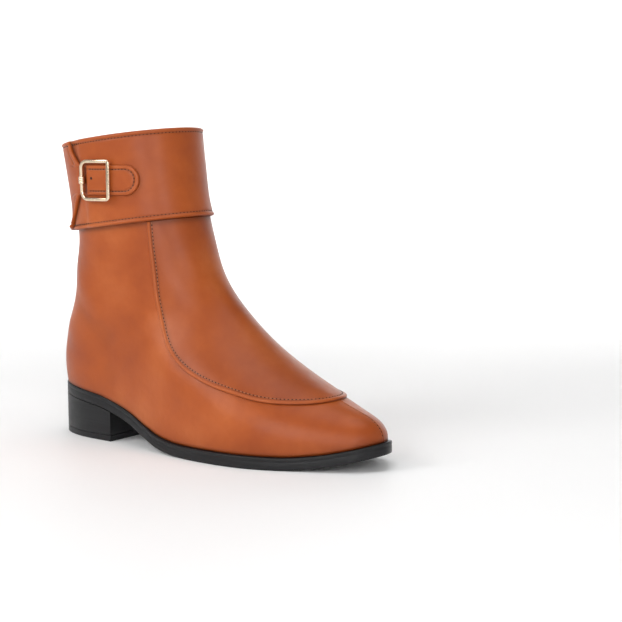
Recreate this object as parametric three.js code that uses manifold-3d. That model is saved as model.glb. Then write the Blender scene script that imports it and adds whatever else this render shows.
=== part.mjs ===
/**
 * Right ankle boot with a folded cuff, a buckled strap tab, an apron seam and an inner side zip.
 *
 * Millimetres. +X points to the toe, +Y to the inner side of the foot, +Z up, and the floor is z = 0.
 * The origin lies in the heel's resting face, half a heel length behind its breast. Inside this file x
 * runs from the back of the sole, and the last group moves the whole boot back to that origin.
 */
import * as THREE from 'three';
import { mergeVertices } from 'three/addons/utils/BufferGeometryUtils.js';
import Module from 'manifold-3d';

const wasm = await Module();
wasm.setup();

// Driving dimensions
const soleLength = 263.5;
const ballWidth = 86;
const collarWidth = 76;
const collarHeight = 216;
const collarDrop = 12.3;
const heelLift = 28.3;
const heelLength = 58;
const heelTaper = 0.2;
const toeSpring = 10.4;
const soleThickness = 8;
const weltForefoot = 2.6;
const weltHeel = 0.5;
const topLiftThickness = 4;
const insoleThickness = 2;
const insoleRoom = 0.9;
const upperWall = 2;
const sidePanelBulge = 0.035;
const bulgeHeight = 22;
const gap = 0.3;

const plugThickness = 0.9;
const beadWidth = 2.8;
const beadHeight = 1.3;

const cuffHeight = 60.5;
const cuffProud = 2.6;
const cuffLeather = 1.3;
const rimBead = 0.5;
const rimWidth = 3;
const flareFront = 1.2;
const flareBack = 3.4;
const flareHeight = 20;
const flapLift = 2.6;
const flapLiftHeight = 11;

const buckleForward = 58.5;
const buckleAboveCuff = 31.5;
const buckleWidth = 25;
const buckleHeight = 28;
const buckleBar = 2.6;
const buckleRoundCorner = 6;
const buckleSquareCorner = 1.8;
const sleeveLength = 5;
const sleeveWall = 0.65;

const strapWidth = 20;
const strapThickness = 1.9;
const strapTipReach = 30;
const strapTipRadius = 8;

const zipSlot = 8.4;
const zipTapeThickness = 0.8;
const zipTapeDepth = 0.7;
const coilWidth = 5;
const coilHeight = 1.7;
const sliderLength = 11;
const sliderThickness = 3;
const sliderTopDrop = 3;
const bridgeWidth = 2.2;
const bridgeBar = 1.1;
const bridgeReach = 4;
const pivotAlong = 1.8;
const pivotHeight = 4.4;
const pivotRadius = 0.7;
const tabLength = 34;
const tabWidth = 5.2;
const tabThickness = 1.4;
const tabCheek = 1.05;
const tabCorner = 1;
const tabWaist = 0.4;
const tabShoulder = 2;
const tabRim = 0.9;
const tabRecess = 0.25;
const tabRecessAbove = 3;
const tabRecessBelow = 9;
const tabEyeWidth = 1.4;
const tabEyeLength = 4.5;
const tabEyeFoot = 2.5;

// Levels of detail
const COLUMNS = 48;
const ROWS = 17;

/** Rows of numbers under named columns. */
function table(columns, rows) {
  const names = columns.split(' ');
  return rows.map((row) => Object.fromEntries(names.map((name, k) => [name, row[k]])));
}

// Side view of the front from the toe to the collar: forward in sole lengths, up from the toe's feather
// edge to the front of the collar.
const FRONT_LINE = table('forward up', [
  [0.990, 0.000],
  [0.989, 0.020],
  [0.972, 0.056],
  [0.921, 0.091],
  [0.838, 0.136],
  [0.750, 0.193],
  [0.665, 0.267],
  [0.592, 0.349],
  [0.530, 0.429],
  [0.485, 0.512],
  [0.457, 0.606],
  [0.434, 0.704],
  [0.417, 0.816],
  [0.400, 1.000],
]);

// The same for the back, from the heel's feather edge to the back of the collar.
const BACK_LINE = table('forward up', [
  [-0.011, 0.000],
  [-0.015, 0.068],
  [-0.012, 0.139],
  [0.007, 0.247],
  [0.034, 0.366],
  [0.047, 0.485],
  [0.055, 0.616],
  [0.045, 0.765],
  [0.019, 1.000],
]);

// Underside of the sole: forward in sole lengths, its height in heel lifts behind the ball and in toe
// springs before it.
const SOLE_LINE = table('forward heel spring', [
  [0.000, 1.000, 0.000],
  [0.072, 0.940, 0.000],
  [0.173, 0.830, 0.000],
  [0.235, 0.695, 0.000],
  [0.300, 0.510, 0.000],
  [0.360, 0.280, 0.000],
  [0.420, 0.095, 0.000],
  [0.480, 0.018, 0.000],
  [0.540, 0.000, 0.000],
  [0.780, 0.000, 0.000],
  [0.865, 0.000, 0.190],
  [0.947, 0.000, 0.610],
  [1.008, 0.000, 1.030],
]);

// Half widths of the foot to each side of the centre line, in half ball widths.
const FOOT_WIDTH = table('forward outer inner', [
  [0.000, 0.610, 0.620],
  [0.113, 0.645, 0.640],
  [0.275, 0.740, 0.630],
  [0.418, 0.925, 0.610],
  [0.540, 1.045, 0.710],
  [0.652, 1.080, 0.885],
  [0.723, 1.020, 0.940],
  [0.804, 0.840, 0.885],
  [0.886, 0.620, 0.700],
  [0.957, 0.400, 0.475],
  [1.008, 0.250, 0.310],
]);

// Half width of the leg: height in collar heights, width in half collar widths.
const LEG_WIDTH = table('up width', [
  [0.185, 0.789],
  [0.323, 0.842],
  [0.462, 0.868],
  [0.600, 0.895],
  [0.739, 0.947],
  [0.980, 1.000],
]);

// How far the front and the back round off, in ball widths, along each line from sole to collar.
const FRONT_ROUNDING = table('along reach', [
  [0.00, 0.180],
  [0.04, 0.200],
  [0.12, 0.279],
  [0.22, 0.384],
  [0.34, 0.512],
  [0.46, 0.628],
  [0.60, 0.651],
  [0.75, 0.605],
  [1.00, 0.581],
]);
const BACK_ROUNDING = table('along reach', [
  [0.00, 0.520],
  [0.15, 0.500],
  [0.40, 0.500],
  [0.65, 0.535],
  [1.00, 0.570],
]);

// Apron seam from under the cuff to the tip over the toes: around from the front line in half turns, and
// up from the feather edge to the collar.
const APRON_SEAM = table('around up', [
  [0.297, 0.810],
  [0.318, 0.745],
  [0.331, 0.690],
  [0.345, 0.630],
  [0.370, 0.565],
  [0.388, 0.500],
  [0.394, 0.434],
  [0.384, 0.380],
  [0.360, 0.333],
  [0.330, 0.299],
  [0.300, 0.274],
  [0.266, 0.249],
  [0.226, 0.213],
  [0.180, 0.186],
  [0.118, 0.167],
  [0.048, 0.160],
  [0.000, 0.160],
]);

// Zip on the inner side, from its lower end to the collar, in the same measures.
const ZIP_LINE = table('up around', [
  [0.180, 0.564],
  [0.240, 0.573],
  [0.320, 0.570],
  [0.430, 0.545],
  [0.520, 0.520],
  [0.610, 0.495],
  [0.710, 0.485],
  [0.790, 0.480],
  [0.850, 0.462],
  [0.910, 0.441],
  [1.000, 0.405],
]);

// Free edge of the cuff's back flap: up in cuff heights, behind the buckle's centre in buckle widths.
const FLAP_EDGE = table('up behind', [
  [0.000, 1.270],
  [0.038, 1.250],
  [0.119, 1.165],
  [0.217, 1.050],
  [0.320, 0.885],
  [0.384, 0.740],
  [0.409, 0.455],
  [0.697, 0.455],
  [0.719, 0.650],
  [0.783, 0.820],
  [0.880, 1.000],
  [1.000, 1.120],
]);

// Outside of the cuff near a rim: inward from the rim in rim widths, and how proud the leather stands
// there, in rim beads beyond the cuff's own face.
const RIM_PROFILE = table('inward proud', [
  [0.00, -1.8],
  [0.30, 0.8],
  [0.80, 0.9],
  [1.20, 0.0],
]);

/** Natural cubic through (knots, values), straight beyond its ends. */
function naturalCubic(knots, values) {
  const n = knots.length;
  const second = new Array(n).fill(0);
  const work = new Array(n).fill(0);
  for (let i = 1; i < n - 1; i += 1) {
    const share = (knots[i] - knots[i - 1]) / (knots[i + 1] - knots[i - 1]);
    const pivot = share * second[i - 1] + 2;
    const rise = (values[i + 1] - values[i]) / (knots[i + 1] - knots[i])
      - (values[i] - values[i - 1]) / (knots[i] - knots[i - 1]);
    second[i] = (share - 1) / pivot;
    work[i] = (6 * rise / (knots[i + 1] - knots[i - 1]) - share * work[i - 1]) / pivot;
  }
  for (let i = n - 2; i > 0; i -= 1) {
    second[i] = second[i] * second[i + 1] + work[i];
  }
  second[0] = 0;
  const inside = (t) => {
    let k = 1;
    while (k < n - 1 && t > knots[k]) k += 1;
    const h = knots[k] - knots[k - 1];
    const a = (knots[k] - t) / h;
    const b = 1 - a;
    const curve = (a ** 3 - a) * second[k - 1] + (b ** 3 - b) * second[k];
    return a * values[k - 1] + b * values[k] + curve * h * h / 6;
  };
  const step = (knots[n - 1] - knots[0]) * 1e-4;
  const first = knots[0];
  const last = knots[n - 1];
  const startSlope = (inside(first + step) - values[0]) / step;
  const endSlope = (values[n - 1] - inside(last - step)) / step;
  return (t) => {
    if (t < first) return values[0] + (t - first) * startSlope;
    if (t > last) return values[n - 1] + (t - last) * endSlope;
    return inside(t);
  };
}

/** A curve that never overshoots its rows, so equal rows give a flat stretch. */
function monotoneCubic(knots, values) {
  const n = knots.length;
  const slope = [];
  for (let i = 0; i < n - 1; i += 1) {
    slope.push((values[i + 1] - values[i]) / (knots[i + 1] - knots[i]));
  }
  const tangent = knots.map((_, i) => {
    if (i === 0) return slope[0];
    if (i === n - 1) return slope[n - 2];
    if (slope[i - 1] * slope[i] <= 0) return 0;
    return 2 / (1 / slope[i - 1] + 1 / slope[i]);
  });
  return (t) => {
    if (t <= knots[0]) return values[0] + (t - knots[0]) * tangent[0];
    if (t >= knots[n - 1]) return values[n - 1] + (t - knots[n - 1]) * tangent[n - 1];
    let k = 1;
    while (t > knots[k]) k += 1;
    const h = knots[k] - knots[k - 1];
    const s = (t - knots[k - 1]) / h;
    return values[k - 1] * (1 + 2 * s) * (1 - s) ** 2 + tangent[k - 1] * h * s * (1 - s) ** 2
      + values[k] * s * s * (3 - 2 * s) + tangent[k] * h * s * s * (s - 1);
  };
}

function column(rows, name) {
  return rows.map((row) => row[name]);
}

function smoothStep(s) {
  const c = Math.min(Math.max(s, 0), 1);
  return c * c * c * (c * (c * 6 - 15) + 10);
}

function lerp(a, b, s) {
  return a + (b - a) * s;
}

/** Finds where a rising function passes a value, between low and high. */
function bisect(rising, value, low, high) {
  let a = low;
  let b = high;
  for (let k = 0; k < 40; k += 1) {
    const middle = (a + b) / 2;
    if (rising(middle) < value) a = middle;
    else b = middle;
  }
  return (a + b) / 2;
}

/** Plane curve through [x, z] points, run from 0 to 1 by chord length. */
function planeCurve(points) {
  const run = [0];
  for (let i = 1; i < points.length; i += 1) {
    run.push(run[i - 1] + Math.hypot(points[i][0] - points[i - 1][0], points[i][1] - points[i - 1][1]));
  }
  const knots = run.map((r) => r / run[run.length - 1]);
  const x = naturalCubic(knots, points.map((p) => p[0]));
  const z = naturalCubic(knots, points.map((p) => p[1]));
  return (t) => [x(t), z(t)];
}

// The last: one function of (around, up) gives every point of the upper's outside.

const soleHeel = monotoneCubic(column(SOLE_LINE, 'forward'), column(SOLE_LINE, 'heel'));
const soleSpring = monotoneCubic(column(SOLE_LINE, 'forward'), column(SOLE_LINE, 'spring'));

/** Height of the sole's underside at x. */
function underside(x) {
  const s = x / soleLength;
  return Math.max(0, heelLift * soleHeel(s) + toeSpring * soleSpring(s));
}

/** Height of the upper's lower edge, just over the sole's top. */
function feather(x) {
  return underside(x) + soleThickness + gap;
}

function sideLine(rows, top) {
  const foot = feather(rows[0].forward * soleLength);
  return planeCurve(rows.map((row) => [row.forward * soleLength, lerp(foot, top, row.up)]));
}

const frontLine = sideLine(FRONT_LINE, collarHeight);
const backLine = sideLine(BACK_LINE, collarHeight - collarDrop);
const outerWidth = naturalCubic(column(FOOT_WIDTH, 'forward'), column(FOOT_WIDTH, 'outer'));
const innerWidth = naturalCubic(column(FOOT_WIDTH, 'forward'), column(FOOT_WIDTH, 'inner'));
const legWidth = naturalCubic(column(LEG_WIDTH, 'up'), column(LEG_WIDTH, 'width'));
const frontRounding = monotoneCubic(column(FRONT_ROUNDING, 'along'), column(FRONT_ROUNDING, 'reach'));
const backRounding = monotoneCubic(column(BACK_ROUNDING, 'along'), column(BACK_ROUNDING, 'reach'));

/** Nearest place on a side line: its distance from (x, z), and how far along it lies. */
function nearest(samples, x, z) {
  let best = Infinity;
  let at = 0;
  for (let k = 0; k < samples.length; k += 1) {
    const dx = samples[k].x - x;
    const dz = samples[k].z - z;
    const d = dx * dx + dz * dz;
    if (d < best) {
      best = d;
      at = k;
    }
  }
  let distance = Math.sqrt(best);
  for (const k of [at - 1, at + 1]) {
    if (k < 0 || k >= samples.length) continue;
    const ex = samples[k].x - samples[at].x;
    const ez = samples[k].z - samples[at].z;
    const s = ((x - samples[at].x) * ex + (z - samples[at].z) * ez) / (ex * ex + ez * ez);
    if (s <= 0) continue;
    const c = Math.min(s, 1);
    distance = Math.min(distance, Math.hypot(x - samples[at].x - c * ex, z - samples[at].z - c * ez));
  }
  return { distance, along: samples[at].along };
}

function sampleLine(line) {
  const overrun = 0.15;
  const count = 420;
  return Array.from({ length: count + 1 }, (_, k) => {
    const along = lerp(-overrun, 1 + overrun, k / count);
    const [x, z] = line(along);
    return { x, z, along };
  });
}

const frontSamples = sampleLine(frontLine);
const backSamples = sampleLine(backLine);

/** Share of the full width at a distance from a side line that rounds off over reach. */
function roundOff(distance, reach) {
  const fullness = 2.1;
  const q = Math.min(distance / reach, 1);
  return Math.sqrt(1 - (1 - q) ** fullness);
}

// Heights, in collar heights, between which the foot's width gives way to the leg's.
const FOOT_TO_LEG = { from: 0.208, to: 0.485 };

/** Half width of the last at a place in the side view; side is -1 outside the foot and 1 inside. */
function halfWidth(x, z, side) {
  const forward = x / soleLength;
  const up = z / collarHeight;
  const foot = (side < 0 ? outerWidth(forward) : innerWidth(forward)) * ballWidth / 2;
  const rise = Math.min(Math.max((z - feather(x)) / bulgeHeight, 0), 1);
  const bulge = 1 + sidePanelBulge * Math.sin(Math.PI / 2 * rise);
  const leg = legWidth(up) * collarWidth / 2;
  const blend = smoothStep((up - FOOT_TO_LEG.from) / (FOOT_TO_LEG.to - FOOT_TO_LEG.from));
  const front = nearest(frontSamples, x, z);
  const back = nearest(backSamples, x, z);
  const frontShare = roundOff(front.distance, frontRounding(front.along) * ballWidth);
  const backShare = roundOff(back.distance, backRounding(back.along) * ballWidth);
  return lerp(foot * bulge, leg, blend) * frontShare * backShare;
}

/** Side view of the grid: depth 0 at the front line and 1 at the back, up 0 at the feather edge. */
function sidePoint(depth, up) {
  const backRate = 1.35;
  const fade = Math.max(1 - up, 0) ** 1.6;
  const front = frontLine(up);
  const back = backLine(Math.sign(up) * Math.abs(up) ** backRate);
  const toe = frontLine(0);
  const heel = backLine(0);
  const x0 = lerp(toe[0], heel[0], depth);
  const z0 = lerp(toe[1], heel[1], depth);
  const x = lerp(front[0], back[0], depth);
  const z = lerp(front[1], back[1], depth);
  return [x, z + fade * (feather(x0) - z0)];
}

/** Outside of the upper: around in half turns (0 front, negative outside the foot, 1 back). */
function last(around, up) {
  const depth = (1 - Math.cos(around * Math.PI)) / 2;
  const [x, z] = sidePoint(depth, up);
  const side = Math.sin(around * Math.PI) < 0 ? -1 : 1;
  return new THREE.Vector3(x, side * halfWidth(x, z, side), z);
}

/** A point of the last moved out along its normal. */
function offsetPoint(around, up, out) {
  const point = last(around, up);
  if (out === 0) return point;
  const step = 0.006;
  const alongRing = last(around + step, up).sub(last(around - step, up));
  const alongRise = last(around, up + step).sub(last(around, up - step));
  return point.addScaledVector(alongRing.cross(alongRise).normalize(), out);
}

/** A point on one side of the last, given by its place in the side view. */
function sideSpot(x, z, side, out) {
  const step = 0.5;
  const at = (dx, dz) => new THREE.Vector3(x + dx, side * halfWidth(x + dx, z + dz, side), z + dz);
  const forward = at(step, 0).sub(at(-step, 0));
  const rise = at(0, step).sub(at(0, -step));
  const normal = forward.cross(rise).normalize();
  if (normal.y * side < 0) normal.negate();
  return at(0, 0).addScaledVector(normal, out);
}

/** Where the column at a place around is a given length below the collar, or over it if negative. */
function upBelowCollar(around, drop) {
  const top = last(around, 1);
  const over = (up) => Math.sign(up - 1) * last(around, up).distanceTo(top);
  return bisect(over, -drop, 0.5, 1.1);
}

// Closed solids from grids of points

/** A manifold from points and triangles, turned so that its faces point out. */
function closedSolid(points, triangles) {
  const raw = new THREE.BufferGeometry().setFromPoints(points);
  raw.setIndex(triangles.flat());
  const merged = mergeVertices(raw, 1e-4);
  const index = merged.index.array;
  const faces = [];
  for (let k = 0; k < index.length; k += 3) {
    const [a, b, c] = [index[k], index[k + 1], index[k + 2]];
    if (a !== b && b !== c && c !== a) faces.push(a, b, c);
  }
  const corner = (k) => new THREE.Vector3().fromBufferAttribute(merged.attributes.position, k);
  let volume = 0;
  for (let k = 0; k < faces.length; k += 3) {
    volume += corner(faces[k]).dot(corner(faces[k + 1]).cross(corner(faces[k + 2])));
  }
  const triVerts = Uint32Array.from(faces);
  if (volume < 0) triVerts.reverse();
  const vertProperties = Float32Array.from(merged.attributes.position.array);
  return new wasm.Manifold(new wasm.Mesh({ numProp: 3, vertProperties, triVerts }));
}

/** The solid between an outer and an inner grid, each a list of rows of points. */
function between(outer, inner, ringed = false) {
  const rows = outer.length;
  const cols = outer[0].length;
  const points = [...outer.flat(), ...inner.flat()];
  const at = (layer, i, j) => layer * rows * cols + i * cols + (j % cols);
  const triangles = [];
  const quad = (a, b, c, d) => triangles.push([a, b, c], [a, c, d]);
  const spans = ringed ? cols : cols - 1;
  for (let i = 0; i < rows - 1; i += 1) {
    for (let j = 0; j < spans; j += 1) {
      quad(at(0, i, j), at(0, i, j + 1), at(0, i + 1, j + 1), at(0, i + 1, j));
      quad(at(1, i, j), at(1, i + 1, j), at(1, i + 1, j + 1), at(1, i, j + 1));
    }
  }
  for (let j = 0; j < spans; j += 1) {
    quad(at(0, 0, j), at(1, 0, j), at(1, 0, j + 1), at(0, 0, j + 1));
    quad(at(0, rows - 1, j), at(0, rows - 1, j + 1), at(1, rows - 1, j + 1), at(1, rows - 1, j));
  }
  for (let i = 0; i < rows - 1 && !ringed; i += 1) {
    quad(at(0, i, 0), at(0, i + 1, 0), at(1, i + 1, 0), at(1, i, 0));
    quad(at(0, i, cols - 1), at(1, i, cols - 1), at(1, i + 1, cols - 1), at(0, i + 1, cols - 1));
  }
  return closedSolid(points, triangles);
}

/** A grid of points, rows by columns, from a function of two shares. */
function grid(rowShares, columnShares, point) {
  return rowShares.map((r) => columnShares.map((c) => point(r, c)));
}

function shares(count, from = 0, to = 1) {
  return Array.from({ length: count + 1 }, (_, k) => lerp(from, to, k / count));
}

const ringShares = shares(COLUMNS, -1, 1).slice(0, COLUMNS);

/** The last grown by out, as a closed form that runs past the collar, for cutting overlays. */
function grownLast(out) {
  const rows = shares(ROWS, 0, 1).concat([1.05]);
  const skin = grid(rows, ringShares, (up, around) => offsetPoint(around, up, out));
  const middle = (up) => {
    const front = frontLine(up);
    const back = backLine(up);
    return new THREE.Vector3((front[0] + back[0]) / 2, 0, (front[1] + back[1]) / 2);
  };
  return cappedStack(skin, middle(0), middle(rows[rows.length - 1]));
}

/** Rings stacked into a closed form, its ends closed by fans around two points. */
function cappedStack(rings, low, high) {
  const rows = rings.length;
  const cols = rings[0].length;
  const points = [...rings.flat(), low, high];
  const lowIndex = rows * cols;
  const triangles = [];
  const at = (i, j) => i * cols + (j % cols);
  for (let j = 0; j < cols; j += 1) {
    for (let i = 0; i < rows - 1; i += 1) {
      triangles.push([at(i, j), at(i, j + 1), at(i + 1, j + 1)]);
      triangles.push([at(i, j), at(i + 1, j + 1), at(i + 1, j)]);
    }
    triangles.push([at(0, j + 1), at(0, j), lowIndex]);
    triangles.push([at(rows - 1, j), at(rows - 1, j + 1), lowIndex + 1]);
  }
  return closedSolid(points, triangles);
}

/** Rings that pair up across the foot, closed above and below by strips from side to side. */
function soleStack(rings) {
  const rows = rings.length;
  const cols = rings[0].length;
  const triangles = [];
  const at = (i, j) => i * cols + ((j + cols) % cols);
  const strip = (i, flip) => {
    for (let j = 0; j < cols / 2; j += 1) {
      const quad = [at(i, j), at(i, j + 1), at(i, -j - 1), at(i, -j)];
      const [a, b, c, d] = flip ? [...quad].reverse() : quad;
      triangles.push([a, b, c], [a, c, d]);
    }
  };
  for (let j = 0; j < cols; j += 1) {
    for (let i = 0; i < rows - 1; i += 1) {
      triangles.push([at(i, j), at(i, j + 1), at(i + 1, j + 1)]);
      triangles.push([at(i, j), at(i + 1, j + 1), at(i + 1, j)]);
    }
  }
  strip(0, true);
  strip(rows - 1, false);
  return closedSolid(rings.flat(), triangles);
}

// Sole, heel and insole

/** A point of the feather edge moved out level by a width. */
function edgePoint(around, out) {
  const step = 0.004;
  const point = last(around, 0);
  const ahead = last(around + step, 0).sub(last(around - step, 0));
  const outward = new THREE.Vector3(ahead.y, -ahead.x, 0).normalize();
  return point.addScaledVector(outward, out);
}

/** Width that the sole's edge stands out of the upper, full before the arch. */
function welt(around) {
  const x = last(around, 0).x / soleLength;
  return lerp(weltHeel, weltForefoot, smoothStep((x - 0.2) / 0.3));
}

// Side of the sole from its underside up: inset in welt widths, height in sole thicknesses.
const SOLE_SIDE = table('inset up', [
  [0.35, 0.00],
  [0.05, 0.12],
  [0.00, 0.30],
  [0.00, 0.86],
  [0.16, 1.00],
]);

// Places round the edge from the toe, along the inner side, to the heel and back.
const outlineShares = shares(COLUMNS, 0, 2).slice(0, COLUMNS);

function outsole() {
  const rings = SOLE_SIDE.map(({ inset, up }) => outlineShares.map((around) => {
    const edge = edgePoint(around, welt(around) - inset * weltForefoot);
    return new THREE.Vector3(edge.x, edge.y, underside(edge.x) + up * soleThickness);
  }));
  return soleStack(rings);
}

function insole() {
  const floor = soleThickness + gap;
  const rings = [floor, floor + insoleThickness].map((height) => outlineShares.map((around) => {
    const edge = edgePoint(around, -upperWall - insoleRoom);
    return new THREE.Vector3(edge.x, edge.y, underside(edge.x) + height);
  }));
  return soleStack(rings);
}

/** Outline of the heel seen from above: the sole's own edge round the back, and a straight breast. */
function heelOutline(inset) {
  const side = (sign) => bisect((s) => -edgePoint(sign * s, welt(s) - inset).x, -heelLength, 0.5, 1);
  const outer = side(-1);
  const inner = side(1);
  const steps = 10;
  const round = [];
  for (let k = 0; k <= steps; k += 1) round.push(lerp(inner, 1, k / steps));
  for (let k = 1; k <= steps; k += 1) round.push(lerp(-1, -outer, k / steps));
  return round.map((around) => {
    const edge = edgePoint(around, welt(around) - inset);
    return new THREE.Vector2(Math.min(edge.x, heelLength), edge.y);
  });
}

/** A heel piece between two heights; above and below are functions of x. */
function heelPiece(levels) {
  const rings = levels.map(({ inset, height }) => heelOutline(inset).map((p) => {
    return new THREE.Vector3(p.x, p.y, height(p.x));
  }));
  const cols = rings[0].length;
  const at = (i, j) => i * cols + j;
  const triangles = [];
  for (let i = 0; i < rings.length - 1; i += 1) {
    for (let j = 0; j < cols; j += 1) {
      const next = (j + 1) % cols;
      triangles.push([at(i, j), at(i, next), at(i + 1, next)], [at(i, j), at(i + 1, next), at(i + 1, j)]);
    }
  }
  for (let j = 0; j < (cols - 1) / 2; j += 1) {
    const top = rings.length - 1;
    const quad = (i) => [at(i, j), at(i, j + 1), at(i, cols - 2 - j), at(i, cols - 1 - j)];
    const [a, b, c, d] = quad(0);
    triangles.push([a, c, b], [a, d, c]);
    const [e, f, g, h] = quad(top);
    triangles.push([e, f, g], [e, g, h]);
  }
  return closedSolid(rings.flat(), triangles);
}

function heelBlock() {
  return heelPiece([
    { inset: heelTaper * 0.9, height: () => topLiftThickness + gap },
    { inset: heelTaper * 0.45, height: () => (topLiftThickness + heelLift) / 2 },
    { inset: 0, height: (x) => underside(x) - gap },
  ]);
}

function topLift() {
  return heelPiece([
    { inset: heelTaper, height: () => 0 },
    { inset: heelTaper * 0.9, height: () => topLiftThickness },
  ]);
}

// Upper, apron and its raised seam

const zipAround = naturalCubic(column(ZIP_LINE, 'up'), column(ZIP_LINE, 'around'));

/** A point by the zip: up its line, across it in millimetres towards the toe, and out. */
function zipSpot(up, across, out) {
  const around = zipAround(up);
  const step = 0.004;
  const pace = last(around + step, up).distanceTo(last(around - step, up)) / (2 * step);
  return offsetPoint(around - across / pace, up, out);
}

const zipLow = ZIP_LINE[0].up;

/** The strip that the zip needs, from below its end to past the collar. */
function zipCut(width) {
  const rows = shares(22, zipLow, 1.04);
  const across = [-0.5, 0, 0.5];
  const reach = 2 * (upperWall + cuffProud);
  const outer = grid(rows, across, (up, w) => zipSpot(up, w * width, reach));
  const inner = grid(rows, across, (up, w) => zipSpot(up, w * width, -reach));
  return between(outer, inner);
}

function upper() {
  const rows = shares(ROWS);
  const outer = grid(rows, ringShares, (up, around) => offsetPoint(around, up, 0));
  const inner = grid(rows, ringShares, (up, around) => offsetPoint(around, up, -upperWall));
  return between(outer, inner, true).subtract(zipCut(zipSlot));
}

const seamKnots = APRON_SEAM.map((_, k) => k / (APRON_SEAM.length - 1));
const seamAround = naturalCubic(seamKnots, column(APRON_SEAM, 'around'));
const seamUp = naturalCubic(seamKnots, column(APRON_SEAM, 'up'));

/** The seam run from the outer side, round the toes, to the inner side, along -1 to 1. */
function seamPlace(along) {
  const s = 1 - Math.abs(along);
  return { around: Math.sign(along) * Math.max(seamAround(s), 0), up: seamUp(s) };
}

/** The place a given width inside the seam, towards the apron. */
function besideSeam(along, inward) {
  const { around, up } = seamPlace(along);
  const step = 0.004;
  const reach = 0.01;
  const ring = last(around + step, up).sub(last(around - step, up)).divideScalar(2 * step);
  const rise = last(around, up + step).sub(last(around, up - step)).divideScalar(2 * step);
  const before = seamPlace(Math.max(along - reach, -1));
  const after = seamPlace(Math.min(along + reach, 1));
  const run = last(after.around, after.up).sub(last(before.around, before.up));
  const normal = ring.clone().cross(rise).normalize();
  const towards = normal.clone().cross(run).normalize().multiplyScalar(inward);
  const a = ring.dot(ring);
  const b = ring.dot(rise);
  const c = rise.dot(rise);
  const p = towards.dot(ring);
  const q = towards.dot(rise);
  const det = a * c - b * b;
  return { around: around + (p * c - q * b) / det, up: up + (q * a - p * b) / det };
}

/** A point beside the seam: inward in millimetres towards the apron, and out from the upper. */
function seamSpot(along, inward, out) {
  const place = besideSeam(along, inward);
  return offsetPoint(place.around, place.up, out);
}

/** Everything inside the middle of the rolled seam, thick enough to cut any overlay. */
function apronCut() {
  const reach = 6;
  const rows = shares(30, -1, 0);
  const across = shares(12, 1, -1);
  const surface = (out) => grid(rows, across, (along, s) => {
    const edge = besideSeam(along, beadWidth / 2);
    return offsetPoint(edge.around * s, edge.up, out);
  });
  return between(surface(reach), surface(-1));
}

function vampPlug() {
  const sheet = grownLast(gap + plugThickness).subtract(grownLast(gap));
  return sheet.intersect(apronCut()).subtract(beadForm(gap)).subtract(cuffRoom());
}

// Section of the rolled seam: inward in bead widths, out in bead heights.
const BEAD_SECTION = table('inward out', [
  [0.00, -0.6],
  [0.00, 0.62],
  [0.16, 1.20],
  [0.42, 1.50],
  [0.72, 1.35],
  [1.00, 0.85],
  [1.00, -0.6],
]);

/** The rolled seam's own form round the apron, grown on all sides by room. */
function beadForm(room) {
  const skin = shares(38, -1, 1).map((along) => BEAD_SECTION.map(({ inward, out }) => {
    const across = lerp(-room, beadWidth + room, inward);
    return seamSpot(along, across, out * beadHeight + Math.sign(out) * room);
  }));
  return sweep(skin);
}

/** Sections joined one after another and closed by flat fans at both ends. */
function sweep(sections) {
  const count = sections[0].length;
  const end = sections.length - 1;
  const at = (i, j) => i * count + (j % count);
  const triangles = [];
  for (let i = 0; i < end; i += 1) {
    for (let j = 0; j < count; j += 1) {
      triangles.push([at(i, j), at(i, j + 1), at(i + 1, j + 1)]);
      triangles.push([at(i, j), at(i + 1, j + 1), at(i + 1, j)]);
    }
  }
  for (let j = 1; j < count - 1; j += 1) {
    triangles.push([at(0, 0), at(0, j + 1), at(0, j)]);
    triangles.push([at(end, 0), at(end, j), at(end, j + 1)]);
  }
  return closedSolid(sections.flat(), triangles);
}

/** Sections joined into a ring. */
function sweepRing(sections) {
  const count = sections[0].length;
  const turns = sections.length;
  const at = (i, j) => (i % turns) * count + (j % count);
  const triangles = [];
  for (let i = 0; i < turns; i += 1) {
    for (let j = 0; j < count; j += 1) {
      triangles.push([at(i, j), at(i, j + 1), at(i + 1, j + 1)]);
      triangles.push([at(i, j), at(i + 1, j + 1), at(i + 1, j)]);
    }
  }
  return closedSolid(sections.flat(), triangles);
}

function apronBead() {
  return beadForm(0).subtract(grownLast(gap)).subtract(cuffRoom());
}

// Cuff: a front band, and a back band whose free flap laps over the front band's end

/** A point of the cuff: height over its lower rim, and out from the upper. */
function cuffPoint(around, height, out) {
  return offsetPoint(around, upBelowCollar(around, cuffHeight - height), out);
}

/** Room for the whole cuff, so that what runs up to it stops just under its rim. */
function cuffRoom() {
  const heights = [-gap, cuffHeight / 2, cuffHeight + gap];
  const reach = cuffProud + beadHeight + plugThickness;
  const wall = (out) => grid(heights, ringShares, (height, around) => cuffPoint(around, height, out));
  return between(wall(reach), wall(-upperWall / 2), true);
}

/** Middle of the zip at a height of the cuff, as a place around. */
function zipAtCuff(height) {
  const drop = cuffHeight - height;
  return zipAround(upBelowCollar(zipAround(1), drop));
}

/** How far the cuff stands off towards its lower rim, most at the back. */
function flare(around, height) {
  const depth = (1 - Math.cos(around * Math.PI)) / 2;
  return lerp(flareFront, flareBack, depth * depth) * Math.max(1 - height / flareHeight, 0) ** 2;
}

/** Heights of the cuff's rows with how far each stands proud of the cuff's face. */
function cuffRows(middle) {
  const rim = RIM_PROFILE.map(({ inward, proud }) => ({
    height: inward * rimWidth,
    proud: proud * rimBead,
  }));
  const top = rim.map(({ height, proud }) => ({ height: cuffHeight - height, proud })).reverse();
  return [...rim, ...middle.map((share) => ({ height: share * cuffHeight, proud: 0 })), ...top];
}

// Place around, in half turns, where the front band starts to thin and where it ends under the flap.
const BAND_END = { thinFrom: -0.575, thinTo: -0.63, end: -0.735 };

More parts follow.
